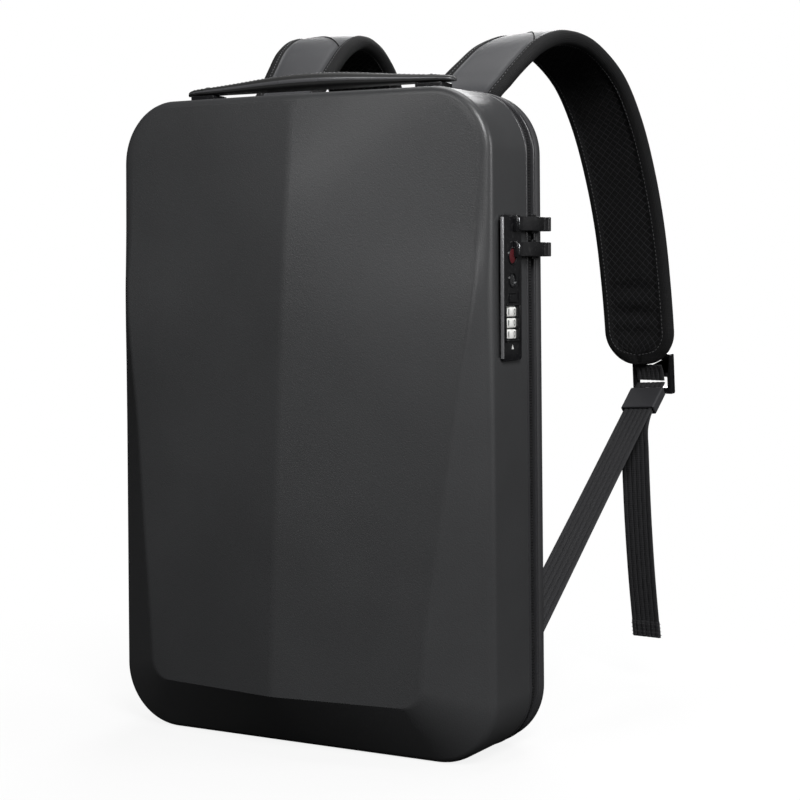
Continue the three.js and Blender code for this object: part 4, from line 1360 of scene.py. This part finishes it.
    def digits(self, index: int, z: float) -> Piece:
        """The ten digits round a wheel, bent to it.

        Args:
            index: The wheel.
            z: Its height.

        Returns:
            One piece with all the digits.
        """
        made = bmesh.new()
        for number in range(10):
            curve = bpy.data.curves.new(f"digit_{number}", "FONT")
            curve.body = str(number)
            curve.align_x, curve.align_y = "CENTER", "CENTER"
            curve.size = self.digit_size * MM
            holder = bpy.data.objects.new(f"digit_{number}", curve)
            bpy.context.scene.collection.objects.link(holder)
            flat = bpy.data.meshes.new_from_object(holder)
            middle = (self.dial_settings[index] - number) * 2 * math.pi / 10
            reach = (self.dial_radius + 0.05) * MM
            for vertex in flat.vertices:
                turn = middle + vertex.co.x / (self.dial_radius * MM)
                vertex.co = Vector((
                    self.dial_x * MM + reach * math.cos(turn),
                    self.centre_y * MM + reach * math.sin(turn),
                    z * MM + vertex.co.y,
                ))
            made.from_mesh(flat)
            bpy.data.objects.remove(holder)
            bpy.data.curves.remove(curve)
            bpy.data.meshes.remove(flat)
        for face in made.faces:
            face.material_index = 0
        return finish_mesh(f"wheel_digits_{index + 1}", made, [DIGIT_INK], 30.0)

    def build(self) -> None:
        """Makes every piece of the lock."""
        self.housing()
        for index in range(3):
            self.wheel(index)
        refined("key_plug", "key_barrel", CHROME, 0.25, body="key")
        refined("release_button", "button_cap", LOCK_BLACK, 0.6, body="button")
        dome = ((-1.0, 4.99), (-0.25, 4.99), (0.05, 4.7), (0.2, 3.6), (0.28, 2.0), (0.3, 0.2))
        profile = [(self.plate_x + x, radius) for x, radius in dome]
        inlay = disc_along_x("inlay_disc", (self.centre_y, self.inlay_z), profile, RED_INLAY)
        place_on(inlay, RED_INLAY, "lock_inlay")


@dataclass
class ZipPulls:
    """The two sliders and the flat pullers that the lock holds."""

    bevel: float = 0.55

    def build(self) -> None:
        """Makes both sliders and both pullers."""
        for label in ("upper", "lower"):
            refined(f"zip_slider_{label}", f"slider_{label}", BLACK_METAL, self.bevel)
            refined(f"zip_puller_{label}", f"puller_{label}", BLACK_METAL, self.bevel, 4)


@dataclass
class TopHandle:
    """The flat leather handle: thick in its middle, thin and narrow at its ends."""

    case_height: float = 450.0
    length: float = 218.0
    width: float = 28.0
    end_width: float = 15.0
    thickness: float = 11.0
    end_thickness: float = 5.0
    gap: float = 5.0
    y: float = -11.0
    foot_spacing: float = 184.0
    seam_depth: float = 0.5

    def section(self, share: float) -> tuple[float, float]:
        """Width and thickness at a share of half the length, from -1 to 1."""
        swell = (1 + math.cos(share * math.pi)) / 2
        end_round = math.sqrt(max(1 - abs(share) ** 14, 0.03))
        width = (self.end_width + (self.width - self.end_width) * swell) * end_round
        return width, (self.end_thickness + (self.thickness - self.end_thickness) * swell) * end_round**0.5

    def ring(self, share: float) -> Ring:
        """One section of the grip, with a raised edge line on each side."""
        width, thick = self.section(share)
        ring = []
        for c, s in circle(48):
            across = math.copysign(abs(c) ** 0.62, c)
            up = math.copysign(abs(s) ** 0.72, s)
            seam = math.exp(-(((abs(up) - 0.34) / 0.07) ** 2)) * (1 if abs(across) > 0.8 else 0)
            reach = width / 2 - self.seam_depth * seam
            ring.append(self.on_grip(share, across * reach, thick * (1 + up) / 2))
        return ring

    def on_grip(self, share: float, across: float, up: float) -> Vector:
        """A place at a share of half the length, across from the middle and up from the underside."""
        return Vector((share * self.length / 2, self.y + across, self.case_height + self.gap + up))

    def build(self) -> None:
        """Makes the grip, its stitches, its feet and the rivets at its ends."""
        grip = Skin(
            [self.ring(-math.cos(math.pi * i / 90)) for i in range(91)],
            finishes=[HANDLE_LEATHER, EDGE_PAINT_AND_HIGHLIGHT],
            # The faces along the middle of each long side take the lighter edge paint: partly real edge
            # paint, partly a painted highlight
            paint=lambda row, i: 1 if i % 24 in (0, 23) else 0,
            crease=70.0,
        ).build("grip_leather")
        place_on(grip, HANDLE_LEATHER, "handle_grip")
        self.stitches()
        for side in Side:
            refined(f"handle_foot_{side.label}", f"grip_foot_{side.label}", LOCK_BLACK, 0.9)
            x = side.value * self.foot_spacing / 2
            _, thick = self.section(2 * x / self.length)
            top = self.case_height + self.gap + thick
            place_on(self.rivet(f"grip_rivet_{side.label}", Vector((x, self.y, top))), CHROME)

    def stitches(self) -> None:
        """Makes the two rows of stitches along the grip."""
        paths = []
        for side in (-1, 1):
            points = []
            for i in range(-56, 57):
                width, thick = self.section(i / 60)
                points.append(self.on_grip(i / 60, side * 0.7 * width / 2, thick * (1 + 0.9) / 2))
            paths.append((points, [Vector((0.0, side * 0.3, 0.95))] * len(points)))
        Row(RepeatShape.STITCH, 3.6, (2.5, 0.7, 0.35)).build("grip_stitches", paths, THREAD)

    def rivet(self, name: str, top: Vector) -> Piece:
        """A low domed rivet on the grip.

        Args:
            name: The piece's name.
            top: The middle of its foot.

        Returns:
            The piece.
        """
        rings = []
        for radius, height in ((2.6, -0.8), (2.6, 0.2), (2.3, 0.55), (1.5, 0.85), (0.4, 1.0)):
            rings.append([top + Vector((radius * c, radius * s, height)) for c, s in circle(32)])
        return Skin(rings, finishes=[CHROME], crease=50.0).build(name)


# Shoulder straps and webbing


@dataclass
class ShoulderStrap:
    """A padded strap: leather on top, spacer mesh beneath and a binding round its edge."""

    side: Side
    splay: float
    rise: float
    lean: float
    case_height: float = 450.0
    back_y: float = 38.5
    width: float = 62.0
    thickness: float = 10.5
    root_x: float = 75.0
    root_drop: float = 46.0
    reach: float = 231.0
    drop: float = 243.0
    end_radius: float = 26.0
    end_thinning: float = 0.3
    binding: float = 8.5
    # Share of the reach, share of the climb and share of the lean
    ascent: tuple = (
        (0.017, -0.98, 0.0),
        (0.018, -0.53, 0.2),
        (0.030, -0.04, 0.6),
        (0.087, 0.28, 0.9),
        (0.156, 0.55, 1.0),
        (0.242, 0.81, 1.0),
        (0.368, 1.00, 1.0),
    )
    # Share of the reach and share of the drop
    descent: tuple = (
        (0.494, 0.008),
        (0.593, 0.045),
        (0.693, 0.111),
        (0.792, 0.235),
        (0.874, 0.399),
        (0.931, 0.564),
        (0.967, 0.728),
        (0.992, 0.893),
        (1.000, 1.000),
    )
    # Share of the length, of the width and of the thickness
    sections: tuple = ((0.00, 0.88, 0.56), (0.10, 0.92, 0.66), (0.28, 1.00, 1.00), (1.00, 1.00, 1.00))
    fold_depth: float = 0.6
    fold_turns: float = 260.0
    # Share of the length, and the depth there
    dents: tuple = ((0.865, 1.8), (0.91, 2.6), (0.945, 1.5))
    dent_reach: float = 0.011
    # Points of a section from the middle of the leather to the binding, and as many on the mesh
    face_points: int = 6
    # The share of the rounded end past which the binding covers it
    bound_from: float = 0.7
    samples: int = 150
    end_samples: int = 14
    seam_run: float = 0.085
    seam_radius: float = 0.8

    def __post_init__(self) -> None:
        """Lays the strap's middle line."""
        angle = math.radians(self.splay)
        self.out = Vector((math.sin(angle), math.cos(angle), 0.0))
        self.across = Vector((math.cos(angle), -math.sin(angle), 0.0))
        crown = self.case_height + self.rise
        places = []
        for out, up, lean in self.ascent:
            climb = self.root_drop if up < 0 else self.rise
            places.append(self.place(lean * self.lean, out * self.reach, self.case_height + up * climb))
        for out, down in self.descent:
            places.append(self.place(self.lean, out * self.reach, crown - down * self.drop))
        self.path = SmoothPath(places)
        self.body_share = 1 - self.end_radius / self.path.length

    def place(self, lean: float, reach: float, z: float) -> Vector:
        """A place in the strap's upright plane."""
        return Vector((self.side.value * self.root_x + lean, self.back_y, z)) + self.out * reach

    def turned(self, share: float, along: Vector) -> Vector:
        """The way across the strap: flat on the back at its root, square to its plane further on."""
        way = Vector((1.0, 0.0, 0.0)).lerp(self.across, smooth_step(share, 0.1, 0.3))
        return (way - along * way.dot(along)).normalized()

    def past_body(self, share: float) -> float:
        """How far a share lies into the rounded end, from 0 to 1."""
        return max((share - self.body_share) / (1 - self.body_share), 0.0)

    def station(self, share: float) -> tuple[Vector, Vector, Vector, float, float, float]:
        """The strap at a share of its length.

        Args:
            share: From 0 at the root to 1 at the end.

        Returns:
            Its middle, its way across, its upward way, half its width, half its thickness and half the
            width inside its binding.
        """
        along, past = self.path.way(share), self.past_body(share)
        across = self.turned(share, along)
        lost = self.end_radius * (1 - math.sqrt(max(1 - past * past, 0.0)))
        half = self.width * table_value(self.sections, share, 1) / 2
        thick = self.thickness * table_value(self.sections, share, 2) * (1 - self.end_thinning * past * past)
        inner_radius, depth = self.end_radius - self.binding, past * self.end_radius
        lost_inside = inner_radius - math.sqrt(max(inner_radius**2 - depth**2, 0.0))
        inside = half - self.binding - lost_inside
        if depth >= inner_radius:
            inside = (half - self.end_radius) * 0.1
        up = across.cross(along).normalized()
        return self.path.at(share), across, up, half - lost, thick / 2, max(inside, 0.4)

    def ring(self, share: float) -> Ring:
        """One section, counted from the middle of the upper face towards +X and round.

        Args:
            share: Where it lies.

        Returns:
            Its 40 points.
        """
        middle, across, up, half, thick, inside = self.station(share)
        inside = min(inside, half - 1.5)
        crown = 0.35 + 0.35 * smooth_step(share, 0.1, 0.3)
        steps = self.face_points
        face = [(k / steps * inside, thick + crown * (1 - (k / steps) ** 2) - 0.25) for k in range(steps)]
        face.append((inside - 0.2, thick - 0.55))
        rim = half - inside
        edge = [(inside + 0.3, thick - 0.1), (inside + rim * 0.35, thick + 0.05)]
        edge += [(inside + rim * 0.7, thick * 0.88), (inside + rim * 0.9, thick * 0.62), (half, thick * 0.2)]
        quarter = face + edge
        half_ring = quarter + [(u, -v) for u, v in reversed(quarter)][:-1]
        half_ring.append((0.0, -thick - crown + 0.25))
        mirrored = [(-u, v) for u, v in reversed(half_ring[1:-1])]
        ripple = self.ripple(share)
        ring = []
        for u, v in half_ring + mirrored:
            lift = ripple * max(1 - (u / max(inside, 1.0)) ** 2, 0.0) if v < 0 else 0.0
            ring.append(middle + across * u + up * (v + lift))
        return ring

    def ripple(self, share: float) -> float:
        """How far the mesh side is pressed in: folds inside the bend and dents near the end."""
        bent = smooth_step(share, 0.2, 0.3) * (1 - smooth_step(share, 0.42, 0.55))
        dents = sum(math.exp(-(((share - at) / self.dent_reach) ** 2)) * deep for at, deep in self.dents)
        return self.fold_depth * math.sin(share * self.fold_turns) * bent + dents

    def paint(self, row: int, index: int) -> int:
        """The finish of a face: 0 leather, 1 binding, 2 mesh.

        Args:
            row: Its row along the strap.
            index: Its place round the section.

        Returns:
            The number of its finish.
        """
        share = self.shares[min(row, len(self.shares) - 1)]
        count = len(self.rings[0])
        step = min(index, count - 1 - index)
        at_edge = self.face_points <= step < count // 2 - self.face_points
        if at_edge or self.past_body(share) > self.bound_from:
            return 1
        return 0 if step < self.face_points else 2

    def build(self) -> None:
        """Makes the padded strap and the stitches in its binding and its seams."""
        shares = [self.body_share * i / self.samples for i in range(self.samples + 1)]
        for i in range(1, self.end_samples + 1):
            turn = i / self.end_samples * 0.985 * math.pi / 2
            shares.append(self.body_share + (1 - self.body_share) * math.sin(turn))
        self.shares = shares
        self.rings = [self.ring(share) for share in shares]
        finishes = [STRAP_LEATHER, BINDING, STRAP_MESH]
        skin = Skin(self.rings, finishes=finishes, paint=self.paint, crease=75.0)
        pad = skin.build(f"padded_strap_{self.side.label}")
        place_on(pad, STRAP_LEATHER, f"strap_{self.side.label}")
        self.cross_seam()
        self.stitches()

    def stitches(self) -> None:
        """Makes a row of stitches along each side of each face."""
        paths = []
        for upper in (1, -1):
            for edge in (1, -1):
                points, ways = [], []
                for share in self.shares[6 : -self.end_samples // 2]:
                    middle, across, up, half, thick, inside = self.station(share)
                    reach = min(inside, half - 1.5) + 1.9
                    points.append(middle + across * edge * reach + up * upper * (thick + 0.05))
                    ways.append(up * upper)
                paths.append((points, ways))
        row = Row(RepeatShape.STITCH, 3.2, (2.1, 0.55, 0.5))
        row.build(f"binding_stitches_{self.side.label}", paths, THREAD)

    def cross_seam(self) -> None:
        """A piped seam that curves over the leather near the crown."""
        crown = max(range(101), key=lambda step: self.path.at(step / 100).z) / 100
        rings = []
        for k in range(41):
            u = -1 + k / 20
            share = crown - self.seam_run * ((u + 1) / 2) ** 1.7
            middle, across, up, _, thick, inside = self.station(share)
            along = self.path.way(share)
            centre = middle + across * u * (inside - 0.9) + up * (thick + 0.45 * (1 - u * u) - 0.1)
            radius = self.seam_radius
            rings.append([centre + along * radius * c + up * radius * s for c, s in circle(10)])
        piece = Skin(rings, finishes=[BINDING], crease=60.0).build(f"strap_seam_{self.side.label}")
        place_on(piece, BINDING)


@dataclass
class Webbing:
    """The ribbed webbing, buckle, sleeve and anchor below one strap."""

    strap: ShoulderStrap
    width: float = 25.0
    thickness: float = 1.8
    gap: float = 0.3
    ribs: int = 6
    stub_length: float = 13.0
    ladder_height: float = 32.0
    ladder_thickness: float = 6.0
    ladder_drop: float = 8.0
    ladder_across: float = 7.0
    keeper_length: float = 23.0
    keeper_start: float = 8.0
    anchor_x: float = 122.0
    anchor_z: float = 44.0
    anchor_height: float = 26.0
    anchor_thickness: float = 3.0
    run_out: float = 3.0
    hang: float = 166.0
    drift_out: float = 12.0
    drift_across: float = 4.0
    hem: float = 13.0
    stitches: Row = field(default_factory=lambda: Row(RepeatShape.STITCH, 2.4, (1.7, 0.6, 0.5)))

    def section(self, swell: float = 1.0, width: float = 1.0) -> list[Place]:
        """The ribbed section: shares of half the width and half the thickness."""
        top = []
        steps = self.ribs * 6
        for k in range(steps + 1):
            u = -1 + 2 * k / steps
            rib = abs(math.sin(math.pi * k / 6))
            edge = 0.55 if k in (0, steps) else 1.0
            top.append((u * width, (0.28 + 0.72 * rib**0.4) * edge * swell))
        return top + [(u, -v) for u, v in reversed(top)]

    @staticmethod
    def ways_at(path: SmoothPath, across: Vector, share: float) -> tuple[Vector, Vector]:
        """The way across and the upward way of webbing at a share of its path."""
        along = path.way(share)
        wide = (across - along * across.dot(along)).normalized()
        return wide, wide.cross(along).normalized()

    def ring(self, path: SmoothPath, across: Vector, share: float, section: Sequence[Place]) -> Ring:
        """One section of webbing.

        Args:
            path: Its middle line.
            across: The way across it.
            share: Where the section lies on the path.
            section: Its points, as shares of half the width and half the thickness.

        Returns:
            The points.
        """
        wide, up = self.ways_at(path, across, share)
        return [path.at(share) + wide * u * self.width / 2 + up * v * self.thickness / 2 for u, v in section]

    def strip(
        self, name: str, node: str, path: SmoothPath, ways: Callable[[float], Vector], step: float
    ) -> Piece:
        """Lays webbing along a path.

        Args:
            name: The piece's name.
            node: The node that it replaces.
            path: Its middle line.
            ways: The way across it at a share of its length.
            step: The distance between sections in millimetres.

        Returns:
            The piece.
        """
        count, section = max(int(path.length / step), 4), self.section()
        rings = [self.ring(path, ways(i / count), i / count, section) for i in range(count + 1)]
        return place_on(Skin(rings, finishes=[WEBBING], crease=60.0).build(name), WEBBING, node)

    def build(self) -> None:
        """Makes every piece below the strap."""
        strap, label, side = self.strap, self.strap.side.label, self.strap.side.value
        along, across, out = strap.path.way(1.0), strap.across, strap.out
        start = strap.path.at(1.0) + across * side * self.ladder_across
        behind = across.cross(along).normalized()
        if behind.dot(out) < 0:
            behind.negate()
        past = 1 - (self.ladder_height / 2 - self.ladder_drop) / strap.end_radius
        strap_depth = strap.thickness * (1 - strap.end_thinning * past * past)
        ladder_stand = (strap_depth + self.ladder_thickness) / 2 + self.gap
        web_stand = ladder_stand - self.ladder_thickness / 2 - self.gap - self.thickness / 2

        def down(distance: float, stand: float) -> Vector:
            """A place below the strap's end."""
            return start + along * distance + behind * stand

        length = self.stub_length
        stub = [down(2 * self.gap, 0.0), down(length * 0.4, web_stand * 0.6), down(length, web_stand)]
        self.strip(f"short_web_{label}", f"web_stub_{label}", SmoothPath(stub), lambda share: across, 1.0)

        tab_y = strap.back_y + self.gap + self.anchor_thickness / 2
        anchor = Vector((side * self.anchor_x, tab_y, self.anchor_z))
        seat_y = anchor.y + self.anchor_thickness / 2 + self.gap + self.thickness / 2
        top = down(self.stub_length + 2 * self.gap + self.thickness, web_stand)
        seat_top = Vector((anchor.x, seat_y + 4, anchor.z + self.anchor_height * 0.45))
        way, reach = (seat_top - top).normalized(), (seat_top - top).length
        places = [top + way * reach * share for share in (0.0, 0.3, 0.6, 0.9)]
        places += [seat_top, Vector((anchor.x, seat_y, anchor.z + self.anchor_height * 0.1))]
        places.append(Vector((anchor.x, seat_y, anchor.z - self.anchor_height * 0.4)))
        level = Vector((1.0, 0.0, 0.0))
        lower = SmoothPath(places)
        piece = self.strip(
            f"long_web_{label}", f"lower_web_{label}", lower,
            lambda share: across.lerp(level, smooth_step(share, 0.3, 0.92)), 2.0,
        )

        under = across.cross(way).normalized()
        if under.z > 0:
            under.negate()
        pitch = self.thickness + 2 * self.gap
        keeper_end = self.keeper_start + self.keeper_length
        tail_bend = top + way * (keeper_end + self.run_out + 7) + under * pitch + Vector((0, 0, -6))
        straight = (
            self.keeper_start * 0.5,
            self.keeper_start + self.keeper_length / 2,
            keeper_end - 4,
            keeper_end + self.run_out,
        )
        places = [top + way * distance + under * pitch for distance in straight] + [tail_bend]
        for share in (0.1, 0.4, 0.7, 1.0):
            drift = out * self.drift_out * share * share + across * side * self.drift_across * share
            places.append(tail_bend + drift + Vector((0.0, 0.0, -self.hang * share)))
        tail = SmoothPath(places)
        piece = self.strip(f"free_web_{label}", f"web_tail_{label}", tail, lambda share: across, 1.6)
        self.hem_pieces(label, tail, across)

        refined(f"strap_keeper_{label}", f"web_sleeve_{label}", KEEPER, 1.2)
        refined(f"ladder_lock_{label}", f"ladder_buckle_{label}", BUCKLE, 1.3, 4)
        refined(f"web_anchor_{label}", f"anchor_tab_{label}", KEEPER, 0.8)
        self.anchor_stitches(label, anchor, seat_y)

    def hem_pieces(self, label: str, tail: SmoothPath, across: Vector) -> None:
        """The folded end of the free webbing, with rows of stitches across it.

        Args:
            label: The side's name.
            tail: The free webbing's middle line.
            across: The way across it.
        """
        first = 1 - self.hem / tail.length
        last = 12
        rings = []
        for i in range(last + 1):
            swell = 1.9 if 0 < i < last else 1.2
            rings.append(self.ring(tail, across, first + (1 - first) * i / last, self.section(swell, 1.015)))
        piece = Skin(rings, finishes=[WEBBING], crease=60.0).build(f"web_hem_{label}")
        place_on(piece, WEBBING)
        paths = []
        for row in (0.18, 0.42, 0.66, 0.88):
            share = first + (1 - first) * row
            wide, up = self.ways_at(tail, across, share)
            for facing in (1, -1):
                start = tail.at(share)
                lift = up * facing * self.thickness * 0.93
                points = [start + wide * (k / 10) * self.width * 0.47 + lift for k in range(-10, 11)]
                paths.append((points, [up * facing] * len(points)))
        self.stitches.build(f"hem_stitches_{label}", paths, WEB_THREAD)

    def anchor_stitches(self, label: str, anchor: Vector, seat_y: float) -> None:
        """A sewn box with a cross on the webbing's lower end.

        Args:
            label: The side's name.
            anchor: The middle of the anchor tab.
            seat_y: The Y of the webbing on it.
        """
        y = seat_y + self.thickness / 2
        w, height = self.width * 0.4, self.anchor_height
        low, high = anchor.z - height * 0.36, anchor.z + height * 0.02
        corners = [Vector((anchor.x + u, y, z)) for u, z in ((-w, low), (w, low), (w, high), (-w, high))]
        runs = [(0, 1), (1, 2), (2, 3), (3, 0), (0, 2), (1, 3)]
        paths = []
        for a, b in runs:
            points = [corners[a].lerp(corners[b], k / 8) for k in range(9)]
            paths.append((points, [Vector((0.0, 1.0, 0.0))] * 9))
        self.stitches.build(f"anchor_stitches_{label}", paths, WEB_THREAD)


# Studio


@dataclass
class SoftBox:
    """A square area light, with places in metres."""

    name: str
    place: Spot
    aim: Spot
    size: float
    power: float

    def build(self) -> None:
        """Makes the light."""
        data = bpy.data.lights.new(self.name, "AREA")
        data.shape, data.size, data.energy = "SQUARE", self.size, self.power
        lamp = bpy.data.objects.new(self.name, data)
        lamp.location = self.place
        lamp.rotation_euler = (Vector(self.aim) - Vector(self.place)).to_track_quat("-Z", "Y").to_euler()
        bpy.context.scene.collection.objects.link(lamp)


@dataclass
class Studio:
    """Pale floor, white surround, soft boxes and the camera at the photograph's viewing angle."""

    camera_place: Spot = (0.70035, -1.13548, 0.33084)
    yaw: float = 29.475
    pitch: float = -2.805
    roll: float = -0.339
    lens: float = 85.0
    sensor: float = 36.0
    shift_y: float = -0.05
    floor_half: float = 9.0
    surround: float = 0.05
    lights: tuple[SoftBox, ...] = (
        SoftBox("key_light", (1.0, -1.05, 1.25), (0.03, 0.0, 0.44), 0.6, 26.0),
        SoftBox("front_light", (-0.43, -1.57, 1.05), (0.05, 0.0, 0.4), 0.6, 5.5),
        SoftBox("top_light", (0.05, 0.3, 1.5), (0.0, 0.08, 0.45), 0.8, 9.0),
        SoftBox("side_light", (1.7, 0.5, 0.75), (0.15, 0.05, 0.35), 0.5, 9.0),
        SoftBox("rear_light", (-0.6, 1.8, 1.0), (0.0, 0.05, 0.25), 1.0, 22.0),
    )

    def camera(self) -> None:
        """Makes the camera."""
        yaw, pitch, roll = (math.radians(angle) for angle in (self.yaw, self.pitch, self.roll))
        ahead = Vector((-math.sin(yaw) * math.cos(pitch), math.cos(yaw) * math.cos(pitch), math.sin(pitch)))
        right = Vector((math.cos(yaw), math.sin(yaw), 0.0))
        up = right.cross(ahead)
        turned_right = right * math.cos(roll) + up * math.sin(roll)
        turned_up = up * math.cos(roll) - right * math.sin(roll)
        data = bpy.data.cameras.new("photo_camera")
        data.lens, data.sensor_width, data.shift_y = self.lens, self.sensor, self.shift_y
        data.clip_start, data.clip_end = 0.05, 40.0
        lens = bpy.data.objects.new("photo_camera", data)
        bpy.context.scene.collection.objects.link(lens)
        basis = Matrix((turned_right, turned_up, -ahead)).transposed().to_4x4()
        lens.matrix_world = Matrix.Translation(self.camera_place) @ basis
        bpy.context.scene.camera = lens

    def floor(self) -> None:
        """Makes the pale floor."""
        made = bmesh.new()
        bmesh.ops.create_grid(made, x_segments=1, y_segments=1, size=self.floor_half)
        mesh = bpy.data.meshes.new("studio_floor")
        made.to_mesh(mesh)
        made.free()
        material = bpy.data.materials.new("pale_floor")
        material.use_nodes = True
        board = NodeBoard(material.node_tree)
        pale, seen = board.tree.nodes["Principled BSDF"], board.add("ShaderNodeLightPath")
        board.set(pale, Base_Color=(0.9, 0.9, 0.9, 1.0), Roughness=0.9)
        glow = board.add("ShaderNodeEmission", {"Color": WHITE, "Strength": 1.0})
        dim = board.add("ShaderNodeBsdfDiffuse", {"Color": (0.03, 0.03, 0.03, 1.0)})
        place = board.add("ShaderNodeTexCoord").outputs["Object"]
        reach = board.add("ShaderNodeVectorMath", {0: place}, operation="LENGTH")
        lit = board.choose(board.span(reach.outputs["Value"], 0.86, 1.0, 0.15, 0.55), pale, glow)
        both = board.choose(seen.outputs["Is Camera Ray"], dim, lit)
        board.set(board.tree.nodes["Material Output"], Surface=both.outputs[0])
        mesh.materials.append(material)
        ground = bpy.data.objects.new("studio_floor", mesh)
        bpy.context.scene.collection.objects.link(ground)

    def world(self) -> None:
        """White where the camera sees it, and a dimmer soft light elsewhere."""
        world = bpy.data.worlds.new("surround")
        bpy.context.scene.world = world
        world.use_nodes = True
        board = NodeBoard(world.node_tree)
        soft, seen = board.tree.nodes["Background"], board.add("ShaderNodeLightPath")
        board.set(soft, Color=WHITE, Strength=self.surround)
        white = board.add("ShaderNodeBackground", {"Color": WHITE, "Strength": 1.0})
        both = board.choose(seen.outputs["Is Camera Ray"], soft, white)
        board.set(board.tree.nodes["World Output"], Surface=both.outputs[0])

    def build(self) -> None:
        """Sets up the studio."""
        bpy.context.scene.view_settings.view_transform = "Standard"
        self.camera()
        self.floor()
        self.world()
        for light in self.lights:
            light.build()


def main() -> None:
    """Builds every sub-assembly in order."""
    logging.basicConfig(level=logging.INFO, format="%(message)s")
    Studio().build()
    form = CaseForm()
    FrontShell(form).build()
    SideBands(form).build()
    BackFrame(form).build()
    Lock().build()
    ZipPulls().build()
    TopHandle().build()
    for side, splay, rise, lean in ((Side.RIGHT, 10.0, 46.0, 13.0), (Side.LEFT, -9.0, 54.0, 16.0)):
        strap = ShoulderStrap(side, splay, rise, lean)
        strap.build()
        Webbing(strap).build()


if __name__ == "__main__":
    main()
